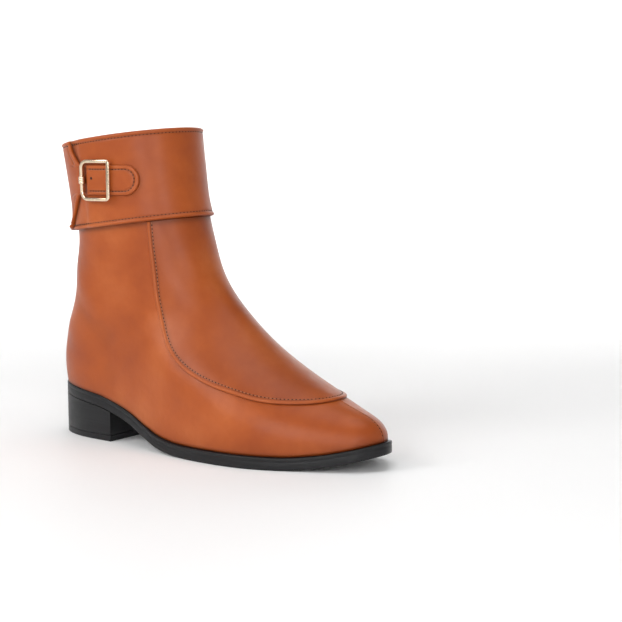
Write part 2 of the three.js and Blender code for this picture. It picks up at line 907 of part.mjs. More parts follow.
/** Face of the front band at a place around: it thins where the flap lies over it. */
function bandFace(around) {
  const s = smoothStep((BAND_END.thinFrom - around) / (BAND_END.thinFrom - BAND_END.thinTo));
  return lerp(cuffProud, gap + cuffLeather, s);
}

function bandForm(room) {
  const rows = cuffRows([0.25, 0.6]);
  const surface = (pick) => grid(rows, shares(21), (row, s) => {
    const around = lerp(BAND_END.end - room / collarWidth, zipAtCuff(row.height), s);
    const height = lerp(-room, cuffHeight + room, row.height / cuffHeight);
    return cuffPoint(around, height, pick(around, row.proud + flare(around, row.height)));
  });
  const face = surface((around, proud) => bandFace(around) + proud + room);
  return between(face, surface(() => -upperWall / 2));
}

function cuffFront() {
  return bandForm(0).subtract(grownLast(gap)).subtract(zipCut(zipSlot));
}

/** Where the flap's free edge lies at a height, as a place around past the heel. */
function flapAround(height) {
  const behind = lookUp(FLAP_EDGE, 'up', 'behind', height / cuffHeight);
  const x = buckleForward - behind * buckleWidth;
  return bisect((around) => cuffPoint(around, height, 0).x, x, 1.05, 1.7);
}

/** Straight-line reading of a table. */
function lookUp(rows, from, to, value) {
  let k = 1;
  while (k < rows.length - 1 && value > rows[k][from]) k += 1;
  const s = (value - rows[k - 1][from]) / (rows[k][from] - rows[k - 1][from]);
  return lerp(rows[k - 1][to], rows[k][to], Math.min(Math.max(s, 0), 1));
}

// Place around where the back band begins to step out over the front band, and where it is over it.
const LAP = { from: 1.16, to: 1.262 };

const lapFace = 2 * (gap + cuffLeather);

function cuffBack() {
  const heights = FLAP_EDGE.map((row) => row.up).filter((up) => up > 0.1 && up < 0.92);
  const rows = cuffRows(heights);
  const surface = (pick) => grid(rows, shares(19), (row, s) => {
    const around = lerp(zipAtCuff(row.height), flapAround(row.height), s);
    const lap = smoothStep((around - LAP.from) / (LAP.to - LAP.from));
    const lift = s < 1 ? 0 : flapLift * Math.max(1 - row.height / flapLiftHeight, 0);
    return cuffPoint(around, row.height + lift, pick(lap, row.proud + flare(around, row.height)));
  });
  const face = surface((lap, proud) => lerp(cuffProud, lapFace, lap) + proud);
  const back = surface(() => -upperWall / 2);
  return between(face, back).subtract(grownLast(gap)).subtract(bandForm(gap)).subtract(zipCut(zipSlot));
}

// Strap tab and buckle

const buckleUp = collarHeight - collarDrop / 2 - cuffHeight;

/** A place by the buckle: forward of its centre, above it, and out from the upper. */
function buckleSpot(forward, above, out) {
  return sideSpot(buckleForward + forward, buckleUp + buckleAboveCuff + above, -1, out);
}

const strapUnder = cuffProud + gap;
const strapBack = gap - Math.min(...column(FLAP_EDGE, 'behind')) * buckleWidth;

/** Half width of the strap at a place forward of the buckle's centre. */
function strapHalf(forward) {
  const start = strapTipReach - strapTipRadius;
  if (forward <= start) return strapWidth / 2;
  const s = Math.min((forward - start) / strapTipRadius, 1);
  const bluntness = 0.985;
  return (strapWidth / 2) * Math.sqrt(1 - bluntness * s * s);
}

// Section of the strap: across in half widths, its top in strap thicknesses.
const STRAP_SECTION = table('across top', [
  [-1.00, 0.35],
  [-0.94, 0.85],
  [-0.78, 0.92],
  [0.00, 1.00],
  [0.78, 0.92],
  [0.94, 0.85],
  [1.00, 0.35],
]);

function strapTab() {
  const flat = strapTipReach - strapTipRadius;
  const tip = [0.35, 0.6, 0.8, 0.93, 1].map((s) => flat + s * strapTipRadius);
  const places = [...shares(9, strapBack, flat), ...tip];
  const dive = 5;
  const surface = (pick) => places.map((forward) => STRAP_SECTION.map((spot) => {
    const rise = lerp(lapFace - strapUnder, strapThickness, smoothStep((forward - strapBack) / dive));
    const out = pick(spot.top * rise);
    return buckleSpot(forward, spot.across * strapHalf(forward), out);
  }));
  const strap = between(surface((top) => strapUnder + top), surface(() => gap));
  return strap.subtract(bandForm(gap));
}

// Middle of the buckle's bars out from the upper, at its rounded back bar and its square front bar.
const barOverFlap = lapFace + sleeveWall + 2 * gap + buckleBar / 2;
const barOverStrap = strapUnder + strapThickness + gap + buckleBar / 2;

/** Outline of the frame's bars from its back round the top, as forward and above. */
function buckleOutline() {
  const halfWide = (buckleWidth - buckleBar) / 2;
  const halfHigh = (buckleHeight - buckleBar) / 2;
  const outline = new THREE.Path();
  const round = buckleRoundCorner;
  const square = buckleSquareCorner;
  outline.moveTo(-halfWide, 0);
  outline.lineTo(-halfWide, halfHigh - round);
  outline.quadraticCurveTo(-halfWide, halfHigh, round - halfWide, halfHigh);
  outline.lineTo(halfWide - square, halfHigh);
  outline.quadraticCurveTo(halfWide, halfHigh, halfWide, halfHigh - square);
  outline.lineTo(halfWide, square - halfHigh);
  outline.quadraticCurveTo(halfWide, -halfHigh, halfWide - square, -halfHigh);
  outline.lineTo(round - halfWide, -halfHigh);
  outline.quadraticCurveTo(-halfWide, -halfHigh, -halfWide, round - halfHigh);
  outline.lineTo(-halfWide, 0);
  return outline.getPoints(4).slice(0, -1);
}

function buckleFrame() {
  const outline = buckleOutline();
  const middle = outline.map(({ x, y }) => {
    const s = x / (buckleWidth - buckleBar) + 0.5;
    const level = lerp(barOverFlap, barOverStrap, s);
    return { spot: buckleSpot(x, y, level), above: buckleSpot(x, y, level + 1) };
  });
  const sides = 8;
  const sections = middle.map(({ spot, above }, k) => {
    const before = middle[(k + middle.length - 1) % middle.length].spot;
    const after = middle[(k + 1) % middle.length].spot;
    const run = after.clone().sub(before).normalize();
    const out = above.clone().sub(spot).normalize();
    const across = out.clone().cross(run).normalize();
    return Array.from({ length: sides }, (_, j) => {
      const turn = (j + 0.5) / sides * 2 * Math.PI;
      return spot.clone()
        .addScaledVector(across, Math.cos(turn) * buckleBar / 2)
        .addScaledVector(out, Math.sin(turn) * buckleBar / 2);
    });
  });
  return sweepRing(sections);
}

/** The ribbed sleeve round the buckle's back bar, along its own z. */
function sleeveGeometry() {
  const inner = buckleBar / 2 + gap;
  const rib = sleeveWall / 3;
  const ribs = 3;
  const profile = [[inner, -sleeveLength / 2]];
  for (let k = 0; k < ribs; k += 1) {
    const low = -sleeveLength / 2 + k * sleeveLength / ribs;
    profile.push([inner + sleeveWall - rib, low]);
    profile.push([inner + sleeveWall, low + sleeveLength / ribs * 0.25]);
    profile.push([inner + sleeveWall, low + sleeveLength / ribs * 0.75]);
  }
  profile.push([inner + sleeveWall - rib, sleeveLength / 2], [inner, sleeveLength / 2], profile[0]);
  const lathe = new THREE.LatheGeometry(profile.map(([r, z]) => new THREE.Vector2(r, z)), 12);
  return lathe.rotateX(Math.PI / 2);
}

// Zip

/** A strip along the zip between two places up, with a section of [across, out] corners. */
function zipStrip(from, to, steps, section) {
  const sections = shares(steps, from, to).map((up) => section.map(([w, out]) => zipSpot(up, w, out)));
  return sweep(sections);
}

const sliderUp = upBelowCollar(zipAround(1), sliderTopDrop + sliderLength / 2);
const coilTopUp = upBelowCollar(zipAround(1), sliderTopDrop + sliderLength + 2 * gap);

function zipTape() {
  const half = zipSlot / 2 - gap;
  const top = -zipTapeDepth;
  const low = top - zipTapeThickness;
  return zipStrip(zipLow + 0.004, 0.995, 20, [[-half, low], [half, low], [half, top], [-half, top]]);
}

function zipCoil() {
  const half = coilWidth / 2;
  const low = gap - zipTapeDepth;
  const high = low + coilHeight;
  const round = coilHeight / 3;
  return zipStrip(zipLow + 0.02, coilTopUp, 20, [
    [-half, low],
    [half, low],
    [half, high - round],
    [half - round, high],
    [round - half, high],
    [-half, high - round],
  ]);
}

/** The slider's own axes: across the zip, along it to the collar, and out. */
const sliderFrame = (() => {
  const centre = zipSpot(sliderUp, 0, 0);
  const step = 0.02;
  const along = zipSpot(sliderUp + step, 0, 0).sub(zipSpot(sliderUp - step, 0, 0)).normalize();
  const out = zipSpot(sliderUp, 0, 1).sub(centre);
  const across = along.clone().cross(out).normalize();
  return { centre, across, along, out: across.clone().cross(along) };
})();

/** A flat outline pushed out along z, as a solid. */
function plate(outline, low, high) {
  const shape = new THREE.Shape(outline.map(([x, y]) => new THREE.Vector2(x, y)));
  return extruded(shape, low, high);
}

function extruded(shape, low, high) {
  const geometry = new THREE.ExtrudeGeometry(shape, {
    depth: high - low,
    bevelEnabled: false,
    curveSegments: 6,
  });
  geometry.translate(0, 0, low);
  return fromGeometry(geometry);
}

function fromGeometry(geometry) {
  geometry.deleteAttribute('normal');
  geometry.deleteAttribute('uv');
  const merged = mergeVertices(geometry, 1e-4);
  const points = [];
  for (let k = 0; k < merged.attributes.position.count; k += 1) {
    points.push(new THREE.Vector3().fromBufferAttribute(merged.attributes.position, k));
  }
  const triangles = [];
  for (let k = 0; k < merged.index.count; k += 3) {
    triangles.push([merged.index.array[k], merged.index.array[k + 1], merged.index.array[k + 2]]);
  }
  return closedSolid(points, triangles);
}

// Slider, seen from outside: half its width and its place along, in slider lengths.
const SLIDER_OUTLINE = table('half along', [
  [0.27, -0.50],
  [0.29, -0.10],
  [0.35, 0.15],
  [0.35, 0.38],
  [0.26, 0.50],
]);

const sliderFloor = gap - zipTapeDepth;
const sliderTop = sliderFloor + sliderThickness;

function zipSlider() {
  const side = (sign) => SLIDER_OUTLINE.map(({ half, along }) => {
    return [sign * half * sliderLength, along * sliderLength];
  });
  const body = plate([...side(1), ...side(-1).reverse()], sliderFloor, sliderTop);
  const inside = pivotHeight + pivotRadius + gap;
  const foot = bridgeBar;
  const head = pivotAlong + pivotRadius + gap;
  const arch = plate([
    [-bridgeReach - foot, sliderTop - foot],
    [-bridgeReach - foot, inside - foot],
    [-bridgeReach, inside + foot],
    [head, inside + foot],
    [head + foot, inside],
    [head + foot, sliderTop - foot],
    [head, sliderTop - foot],
    [head, inside],
    [-bridgeReach, inside],
    [-bridgeReach, sliderTop - foot],
  ], -bridgeWidth / 2, bridgeWidth / 2);
  const turn = new THREE.Matrix4().makeBasis(
    new THREE.Vector3(0, 1, 0),
    new THREE.Vector3(0, 0, 1),
    new THREE.Vector3(1, 0, 0),
  );
  return body.add(arch.transform(turn.elements));
}

/** The pull tab hanging from the origin: x along its pivot, -y down the tab, z out. */
function pullTab() {
  const half = tabWidth / 2;
  const window = bridgeWidth / 2 + gap;
  const windowEnd = -bridgeReach - pivotAlong - bridgeBar - 3 * gap;
  const blade = tabBlade(half, windowEnd);
  blade.holes.push(rectangle(window, windowEnd, pivotRadius * -0.9));
  blade.holes.push(rectangle(tabEyeWidth / 2, tabEyeFoot - tabLength, tabEyeFoot + tabEyeLength - tabLength));
  const panel = half - tabRim;
  const panelTop = windowEnd - tabShoulder - tabRecessAbove;
  const panelLow = tabRecessBelow - tabLength;
  const recess = plate([[-panel, panelLow], [panel, panelLow], [panel, panelTop], [-panel, panelTop]],
    tabThickness / 2 - tabRecess, tabThickness);
  const cheek = (sign) => {
    const disc = new THREE.CylinderGeometry(tabCheek, tabCheek, half - window, 14);
    disc.rotateZ(Math.PI / 2).translate(sign * (half + window) / 2, 0, 0);
    return fromGeometry(disc);
  };
  const bar = new THREE.CylinderGeometry(pivotRadius, pivotRadius, half + window, 10);
  const pivot = fromGeometry(bar.rotateZ(Math.PI / 2));
  const solid = extruded(blade, -tabThickness / 2, tabThickness / 2).subtract(recess);
  return solid.add(cheek(1)).add(cheek(-1)).add(pivot);
}

/** Outline of the tab: a wider head round its window, a waist, and a blade with rounded corners. */
function tabBlade(half, windowEnd) {
  const shoulder = windowEnd - tabShoulder;
  const waist = shoulder - tabShoulder;
  const outline = new THREE.Shape();
  outline.moveTo(-half, 0);
  outline.lineTo(-half, shoulder);
  outline.lineTo(tabWaist - half, waist);
  outline.lineTo(-half, tabCorner - tabLength);
  outline.quadraticCurveTo(-half, -tabLength, tabCorner - half, -tabLength);
  outline.lineTo(half - tabCorner, -tabLength);
  outline.quadraticCurveTo(half, -tabLength, half, tabCorner - tabLength);
  outline.lineTo(half - tabWaist, waist);
  outline.lineTo(half, shoulder);
  outline.lineTo(half, 0);
  outline.closePath();
  return outline;
}

function rectangle(half, low, high) {
  const path = new THREE.Path();
  path.moveTo(-half, low);
  path.lineTo(half, low);
  path.lineTo(half, high);
  path.lineTo(-half, high);
  path.closePath();
  return path;
}

// Finished meshes

function geometryOf(solid) {
  const { vertProperties, triVerts } = solid.getMesh();
  const geometry = new THREE.BufferGeometry();
  geometry.setAttribute('position', new THREE.BufferAttribute(vertProperties, 3));
  geometry.setIndex(new THREE.BufferAttribute(triVerts, 1));
  geometry.computeVertexNormals();
  return geometry;
}

function material(color, roughness, metalness) {
  return new THREE.MeshStandardMaterial({ color, roughness, metalness });
}

function piece(name, solid, look) {
  const geometry = solid.isBufferGeometry ? solid : geometryOf(solid);
  const mesh = new THREE.Mesh(geometry, look());
  mesh.name = name;
  return mesh;
}

const tanLeather = () => material(0xa8552c, 0.42, 0);
const blackSole = () => material(0x17181a, 0.45, 0);
const paleGold = () => material(0xd9cba6, 0.25, 0.9);
const brownTape = () => material(0x7a4a2c, 0.85, 0);
const brownCoil = () => material(0x8e5a36, 0.5, 0);
const paintedTan = () => material(0xb07a4c, 0.4, 0.2);
const lining = () => material(0xc8a682, 0.8, 0);

/** Stands a piece built round its own origin at a place, on the given axes. */
function place(mesh, centre, x, y, z) {
  mesh.position.copy(centre);
  mesh.quaternion.setFromRotationMatrix(new THREE.Matrix4().makeBasis(x, y, z));
  return mesh;
}

function sleeve() {
  const mesh = piece('buckle_sleeve', sleeveGeometry(), paleGold);
  const forward = (buckleBar - buckleWidth) / 2;
  const low = buckleSpot(forward, -1, barOverFlap);
  const high = buckleSpot(forward, 1, barOverFlap);
  const rise = high.clone().sub(low).normalize();
  const out = buckleSpot(forward, 0, barOverFlap + 1).sub(buckleSpot(forward, 0, barOverFlap));
  const across = rise.clone().cross(out).normalize();
  return place(mesh, low.add(high).divideScalar(2), across, rise.clone().cross(across), rise);
}

function slider() {
  const { centre, across, along, out } = sliderFrame;
  return place(piece('zip_slider', zipSlider(), paintedTan), centre, across, along, out);
}

/** The tab hangs plumb from its pivot under the slider's bridge. */
function tab() {
  const { centre, across, along, out } = sliderFrame;
  const pivot = centre.clone().addScaledVector(along, pivotAlong).addScaledVector(out, pivotHeight);
  const up = new THREE.Vector3(0, 0, 1);
  up.addScaledVector(across, -up.dot(across)).normalize();
  return place(piece('pull_tab', pullTab(), paintedTan), pivot, across, up, across.clone().cross(up));
}

const boot = new THREE.Group();
boot.add(
  piece('outsole', outsole(), blackSole),
  piece('heel_block', heelBlock(), blackSole),
  piece('top_lift', topLift(), blackSole),
  piece('insole', insole(), lining),
  piece('upper', upper(), tanLeather),
  piece('vamp_plug', vampPlug(), tanLeather),
  piece('apron_bead', apronBead(), tanLeather),
  piece('cuff_front', cuffFront(), tanLeather),
  piece('cuff_back', cuffBack(), tanLeather),
  piece('strap_tab', strapTab(), tanLeather),
  piece('buckle_frame', buckleFrame(), paleGold),
  sleeve(),
  piece('zip_tape', zipTape(), brownTape),
  piece('zip_coil', zipCoil(), brownCoil),
  slider(),
  tab(),
);
boot.position.x = -heelLength / 2;

const model = new THREE.Group();
model.add(boot);

export default model;
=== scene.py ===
"""Looks of a right ankle boot: tan leather, folded cuff with a buckled strap, apron seam and inner zip.

The boot's surface comes from one function of (around, up), as in its solids. It works in millimetres,
with x from the back of the heel, and mesh_piece() moves every point into the frame, in metres.
"""

import math

import bmesh
import bpy
import numpy as np
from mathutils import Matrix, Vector


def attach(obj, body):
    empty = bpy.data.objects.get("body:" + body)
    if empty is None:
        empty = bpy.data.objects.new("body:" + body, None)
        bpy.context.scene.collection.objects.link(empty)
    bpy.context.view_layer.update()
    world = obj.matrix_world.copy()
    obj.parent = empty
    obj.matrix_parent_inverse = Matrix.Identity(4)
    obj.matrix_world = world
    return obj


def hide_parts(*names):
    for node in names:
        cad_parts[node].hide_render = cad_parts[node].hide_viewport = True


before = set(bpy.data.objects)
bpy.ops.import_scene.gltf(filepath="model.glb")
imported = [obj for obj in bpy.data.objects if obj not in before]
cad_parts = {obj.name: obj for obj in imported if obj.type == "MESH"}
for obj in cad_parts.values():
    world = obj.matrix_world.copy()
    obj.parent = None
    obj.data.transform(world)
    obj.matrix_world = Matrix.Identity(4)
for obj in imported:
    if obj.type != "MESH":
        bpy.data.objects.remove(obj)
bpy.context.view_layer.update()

MM = 0.001
PHOTO = 622

# Driving dimensions, in millimetres; a pace is millimetres to a half turn
SOLE_LENGTH = 263.5
BALL_WIDTH = 86
COLLAR_WIDTH = 76
COLLAR_HEIGHT = 216
COLLAR_DROP = 12.3
HEEL_LIFT = 28.3
HEEL_LENGTH = 58
TOE_SPRING = 10.4
SOLE_THICKNESS = 8
WELT_FOREFOOT = 2.6
WELT_HEEL = 0.5
UPPER_WALL = 2
BULGE = 0.035
BULGE_HEIGHT = 22
GAP = 0.3
PLUG_FACE = 1.2
BEAD_WIDTH = 2.8
BEAD_TOP = 1.9
CUFF_HEIGHT = 60.5
CUFF_FACE = 2.6
CUFF_LEATHER = 1.3
LAP_FACE = 2 * (GAP + CUFF_LEATHER)
RIM_WIDTH = 2.7
RIM_GROOVE = RIM_WIDTH + 0.35
CUFF_PACE = 75
APRON_PACE = 120
FLARE_FRONT = 1.2
FLARE_BACK = 3.4
FLARE_HEIGHT = 20
FLAP_LIFT = 2.6
FLAP_LIFT_HEIGHT = 11
BUCKLE_FORWARD = 58.5
BUCKLE_ABOVE = 31.5
BUCKLE_WIDTH = 25
BUCKLE_HEIGHT = 28
BUCKLE_BAR = 2.6
SLEEVE_WALL = 0.65
STRAP_WIDTH = 20
STRAP_THICKNESS = 1.9
STRAP_REACH = 30
STRAP_TIP = 8
STRAP_GROOVE = 2.7
ZIP_SLOT = 8.4
ZIP_TEETH_ACROSS = 1.28
ZIP_DEPTH = 0.7
TAPE_THICKNESS = 0.8


def table(columns, rows):
    """Rows of numbers under named columns, as one array for each column."""
    return {name: np.array([row[k] for row in rows], float) for k, name in enumerate(columns.split())}


# Side view: forward in sole lengths, up from the feather edge to the collar
FRONT_LINE = table("forward up", [
    (0.990, 0.000), (0.989, 0.020), (0.972, 0.056), (0.921, 0.091), (0.838, 0.136), (0.750, 0.193),
    (0.665, 0.267), (0.592, 0.349), (0.530, 0.429), (0.485, 0.512), (0.457, 0.606), (0.434, 0.704),
    (0.417, 0.816), (0.400, 1.000),
])
BACK_LINE = table("forward up", [
    (-0.011, 0.000), (-0.015, 0.068), (-0.012, 0.139), (0.007, 0.247), (0.034, 0.366),
    (0.047, 0.485), (0.055, 0.616), (0.045, 0.765), (0.019, 1.000),
])
# Underside of the sole: forward in sole lengths, height in heel lifts and toe springs
SOLE_LINE = table("forward heel spring", [
    (0.000, 1.000, 0.000), (0.072, 0.940, 0.000), (0.173, 0.830, 0.000), (0.235, 0.695, 0.000),
    (0.300, 0.510, 0.000), (0.360, 0.280, 0.000), (0.420, 0.095, 0.000), (0.480, 0.018, 0.000),
    (0.540, 0.000, 0.000), (0.780, 0.000, 0.000),
    (0.865, 0.000, 0.190), (0.947, 0.000, 0.610), (1.008, 0.000, 1.030),
])
# Half widths of the foot, in half ball widths
FOOT_WIDTH = table("forward outer inner", [
    (0.000, 0.610, 0.620), (0.113, 0.645, 0.640), (0.275, 0.740, 0.630), (0.418, 0.925, 0.610),
    (0.540, 1.045, 0.710), (0.652, 1.080, 0.885), (0.723, 1.020, 0.940), (0.804, 0.840, 0.885),
    (0.886, 0.620, 0.700), (0.957, 0.400, 0.475), (1.008, 0.250, 0.310),
])
# Half width of the leg: height in collar heights, width in half collar widths
LEG_WIDTH = table("up width", [
    (0.185, 0.789), (0.323, 0.842), (0.462, 0.868), (0.600, 0.895), (0.739, 0.947), (0.980, 1.000),
])
# Reach of the rounding at the front and the back, in ball widths
FRONT_ROUNDING = table("along reach", [
    (0.00, 0.180), (0.04, 0.200), (0.12, 0.279), (0.22, 0.384), (0.34, 0.512), (0.46, 0.628),
    (0.60, 0.651), (0.75, 0.605), (1.00, 0.581),
])
BACK_ROUNDING = table("along reach", [
    (0.00, 0.520), (0.15, 0.500), (0.40, 0.500), (0.65, 0.535), (1.00, 0.570),
])
# Apron seam from under the cuff to its tip over the toes
APRON_SEAM = table("around up", [
    (0.297, 0.810), (0.318, 0.745), (0.331, 0.690), (0.345, 0.630), (0.370, 0.565), (0.388, 0.500),
    (0.394, 0.434), (0.384, 0.380), (0.360, 0.333), (0.330, 0.299), (0.300, 0.274), (0.266, 0.249),
    (0.226, 0.213), (0.180, 0.186), (0.118, 0.167), (0.048, 0.160), (0.000, 0.160),
])
# Zip on the inner side, from its lower end to the collar
ZIP_LINE = table("up around", [
    (0.180, 0.564), (0.240, 0.573), (0.320, 0.570), (0.430, 0.545), (0.520, 0.520), (0.610, 0.495),
    (0.710, 0.485), (0.790, 0.480), (0.850, 0.462), (0.910, 0.441), (1.000, 0.405),
])
# Free edge of the cuff's flap: up in cuff heights, behind the buckle's centre in buckle widths
FLAP_EDGE = table("up behind", [
    (0.000, 1.270), (0.038, 1.250), (0.119, 1.165), (0.217, 1.050), (0.320, 0.885), (0.384, 0.740),
    (0.409, 0.455), (0.697, 0.455), (0.719, 0.650), (0.783, 0.820), (0.880, 1.000), (1.000, 1.120),
])
# Soft folds of the worked leather, in the side view: both ends in sole lengths forward and collar
# heights up, depth and half width in millimetres, side -1 outside the foot, 1 inside, 0 both
FOLDS = table("side x0 z0 x1 z1 depth width", [
    (-1, 0.045, 0.600, 0.200, 0.420, -0.70, 9.0),
    (-1, 0.075, 0.470, 0.235, 0.315, 0.55, 8.0),
    (-1, 0.030, 0.380, 0.190, 0.240, -0.60, 9.0),
    (-1, 0.110, 0.300, 0.260, 0.200, 0.40, 9.0),
    (1, 0.440, 0.420, 0.300, 0.300, 0.45, 8.0),
    (1, 0.060, 0.520, 0.220, 0.330, -0.55, 9.0),
])


def straight_ends(q, t, v, slopes, inside):
    """A curve's inside values, run on straight beyond its first and last knot."""
    before = v[0] + (q - t[0]) * slopes[0]
    after = v[-1] + (q - t[-1]) * slopes[-1]
    return np.where(q < t[0], before, np.where(q > t[-1], after, inside))


def natural_cubic(knots, values):
    """Natural cubic through (knots, values), straight beyond its ends."""
    t, v = np.asarray(knots, float), np.asarray(values, float)
    h = np.diff(t)
    system = np.eye(len(t))
    rise = np.zeros(len(t))
    for i in range(1, len(t) - 1):
        system[i, i - 1:i + 2] = h[i - 1], 2 * (h[i - 1] + h[i]), h[i]
        rise[i] = 6 * ((v[i + 1] - v[i]) / h[i] - (v[i] - v[i - 1]) / h[i - 1])
    m = np.linalg.solve(system, rise)
    slopes = ((v[1] - v[0]) / h[0] - h[0] * (2 * m[0] + m[1]) / 6,
              (v[-1] - v[-2]) / h[-1] + h[-1] * (2 * m[-1] + m[-2]) / 6)

    def curve(q):
        q = np.asarray(q, float)
        i = np.clip(np.searchsorted(t, q, side="right") - 1, 0, len(t) - 2)
        a = (t[i + 1] - q) / h[i]
        b = 1 - a
        bend = (a ** 3 - a) * m[i] + (b ** 3 - b) * m[i + 1]
        return straight_ends(q, t, v, slopes, a * v[i] + b * v[i + 1] + bend * h[i] ** 2 / 6)
    return curve


def monotone_cubic(knots, values):
    """A curve that never overshoots its rows."""
    t, v = np.asarray(knots, float), np.asarray(values, float)
    slope = np.diff(v) / np.diff(t)
    middle = [0 if a * b <= 0 else 2 / (1 / a + 1 / b) for a, b in zip(slope, slope[1:])]
    m = np.array([slope[0], *middle, slope[-1]])

    def curve(q):
        q = np.asarray(q, float)
        i = np.clip(np.searchsorted(t, q, side="left") - 1, 0, len(t) - 2)
        h = t[i + 1] - t[i]
        s = (q - t[i]) / h
        inside = (v[i] * (1 + 2 * s) * (1 - s) ** 2 + m[i] * h * s * (1 - s) ** 2
                  + v[i + 1] * s * s * (3 - 2 * s) + m[i + 1] * h * s * s * (s - 1))
        return straight_ends(q, t, v, m, inside)
    return curve


def lerp(a, b, s):
    return a + (b - a) * s


def smooth_step(s):
    c = np.clip(s, 0, 1)
    return c * c * c * (c * (c * 6 - 15) + 10)


def hump(distance, width):
    """1 at no distance, falling softly to 0 over a few widths."""
    return np.exp(-(distance / width) ** 2)


def rolled(distance, reach):
    """How far a rolled edge falls away: 1 at the edge, 0 from reach on."""
    inward = 1 - np.clip(distance / reach, 0, 1)
    return 1 - np.sqrt(1 - inward ** 2)


def unit(vectors):
    return vectors / np.maximum(np.linalg.norm(vectors, axis=-1, keepdims=True), 1e-9)


# The last

sole_heel = monotone_cubic(SOLE_LINE["forward"], SOLE_LINE["heel"])
sole_spring = monotone_cubic(SOLE_LINE["forward"], SOLE_LINE["spring"])


def underside(x):
    s = x / SOLE_LENGTH
    return np.maximum(0, HEEL_LIFT * sole_heel(s) + TOE_SPRING * sole_spring(s))


def feather(x):
    return underside(x) + SOLE_THICKNESS + GAP


class SideLine:
    """The front or the back of the side view, run from 0 at the sole to 1 at the collar."""

    def __init__(self, rows, top):
        x = rows["forward"] * SOLE_LENGTH
        z = lerp(feather(x[0]), top, rows["up"])
        run = np.r_[0, np.cumsum(np.hypot(np.diff(x), np.diff(z)))]
        self.x = natural_cubic(run / run[-1], x)
        self.z = natural_cubic(run / run[-1], z)
        self.along = np.linspace(-0.15, 1.15, 800)
        self.points = self.at(self.along)

    def at(self, t):
        return np.stack([self.x(t), self.z(t)], -1)

    def nearest(self, x, z):
        """Distance of each place from the line, and how far along its nearest point lies."""
        px, pz = x.ravel(), z.ravel()
        stride = 20
        coarse = self.points[::stride]
        k = ((px[:, None] - coarse[:, 0]) ** 2 + (pz[:, None] - coarse[:, 1]) ** 2).argmin(1) * stride
        for width in (stride, 5, 1):
            reach = np.array([-2, -1, 0, 1, 2]) * max(width // 4, 1)
            near = np.clip(k[:, None] + (reach if width > 1 else reach[1:4]), 1, len(self.points) - 2)
            d2 = (px[:, None] - self.points[near, 0]) ** 2 + (pz[:, None] - self.points[near, 1]) ** 2
            k = near[np.arange(len(px)), d2.argmin(1)]
        best, where = np.full(len(px), np.inf), self.along[k]
        for a in (k - 1, k):
            ex, ez = (self.points[a + 1] - self.points[a]).T
            dx, dz = px - self.points[a, 0], pz - self.points[a, 1]
            s = np.clip((dx * ex + dz * ez) / (ex * ex + ez * ez), 0, 1)
            d = np.hypot(dx - s * ex, dz - s * ez)
            where = np.where(d < best, lerp(self.along[a], self.along[a + 1], s), where)
            best = np.minimum(best, d)
        return best.reshape(x.shape), where.reshape(x.shape)


front_line = SideLine(FRONT_LINE, COLLAR_HEIGHT)
back_line = SideLine(BACK_LINE, COLLAR_HEIGHT - COLLAR_DROP)
outer_width = natural_cubic(FOOT_WIDTH["forward"], FOOT_WIDTH["outer"])
inner_width = natural_cubic(FOOT_WIDTH["forward"], FOOT_WIDTH["inner"])
leg_width = natural_cubic(LEG_WIDTH["up"], LEG_WIDTH["width"])
front_rounding = monotone_cubic(FRONT_ROUNDING["along"], FRONT_ROUNDING["reach"])
back_rounding = monotone_cubic(BACK_ROUNDING["along"], BACK_ROUNDING["reach"])


def round_off(distance, reach):
    fullness = 2.1
    q = np.clip(distance / reach, 0, 1)
    return np.sqrt(1 - (1 - q) ** fullness)


def half_width(x, z, side):
    """Half width of the last at a place in the side view; side is -1 outside the foot and 1 inside."""
    foot_from, leg_from = 0.208, 0.485
    forward = x / SOLE_LENGTH
    up = z / COLLAR_HEIGHT
    foot = np.where(side < 0, outer_width(forward), inner_width(forward)) * BALL_WIDTH / 2
    rise = np.clip((z - feather(x)) / BULGE_HEIGHT, 0, 1)
    foot = foot * (1 + BULGE * np.sin(np.pi / 2 * rise))
    leg = leg_width(up) * COLLAR_WIDTH / 2
    blend = smooth_step((up - foot_from) / (leg_from - foot_from))
    front, front_at = front_line.nearest(x, z)
    back, back_at = back_line.nearest(x, z)
    front_share = round_off(front, front_rounding(front_at) * BALL_WIDTH)
    back_share = round_off(back, back_rounding(back_at) * BALL_WIDTH)
    return lerp(foot, leg, blend) * front_share * back_share


def last(around, up):
    """Outside of the upper: around in half turns from the front, negative outside the foot."""
    around, up = np.broadcast_arrays(np.asarray(around, float), np.asarray(up, float))
    depth = (1 - np.cos(around * np.pi)) / 2
    fade = np.maximum(1 - up, 0) ** 1.6
    front = front_line.at(up)
    back = back_line.at(np.sign(up) * np.abs(up) ** 1.35)
    toe, heel = front_line.at(0.0), back_line.at(0.0)
    x0, z0 = lerp(toe[0], heel[0], depth), lerp(toe[1], heel[1], depth)
    x = lerp(front[..., 0], back[..., 0], depth)
    z = lerp(front[..., 1], back[..., 1], depth) + fade * (feather(x0) - z0)
    side = np.where(np.sin(around * np.pi) < 0, -1, 1)
    return np.stack([x, side * half_width(x, z, side), z], -1)


def skin(around, up, out):
    """Points of the last moved out along its normal."""
    step = 0.006
    ring = last(around + step, up) - last(around - step, up)
    rise = last(around, up + step) - last(around, up - step)
    return last(around, up) + unit(np.cross(ring, rise)) * np.asarray(out, float)[..., None]


def side_skin(x, z, side, out):
    """Points on one side of the last, given by their place in the side view."""
    x, z, out = np.broadcast_arrays(x, z, out)

    def at(dx, dz):
        return np.stack([x + dx, side * half_width(x + dx, z + dz, side), z + dz], -1)
    step = 0.5
    normal = unit(np.cross(at(step, 0) - at(-step, 0), at(0, step) - at(0, -step)))
    normal = np.where(normal[..., 1:2] * side < 0, -normal, normal)
    return at(0, 0) + normal * out[..., None]


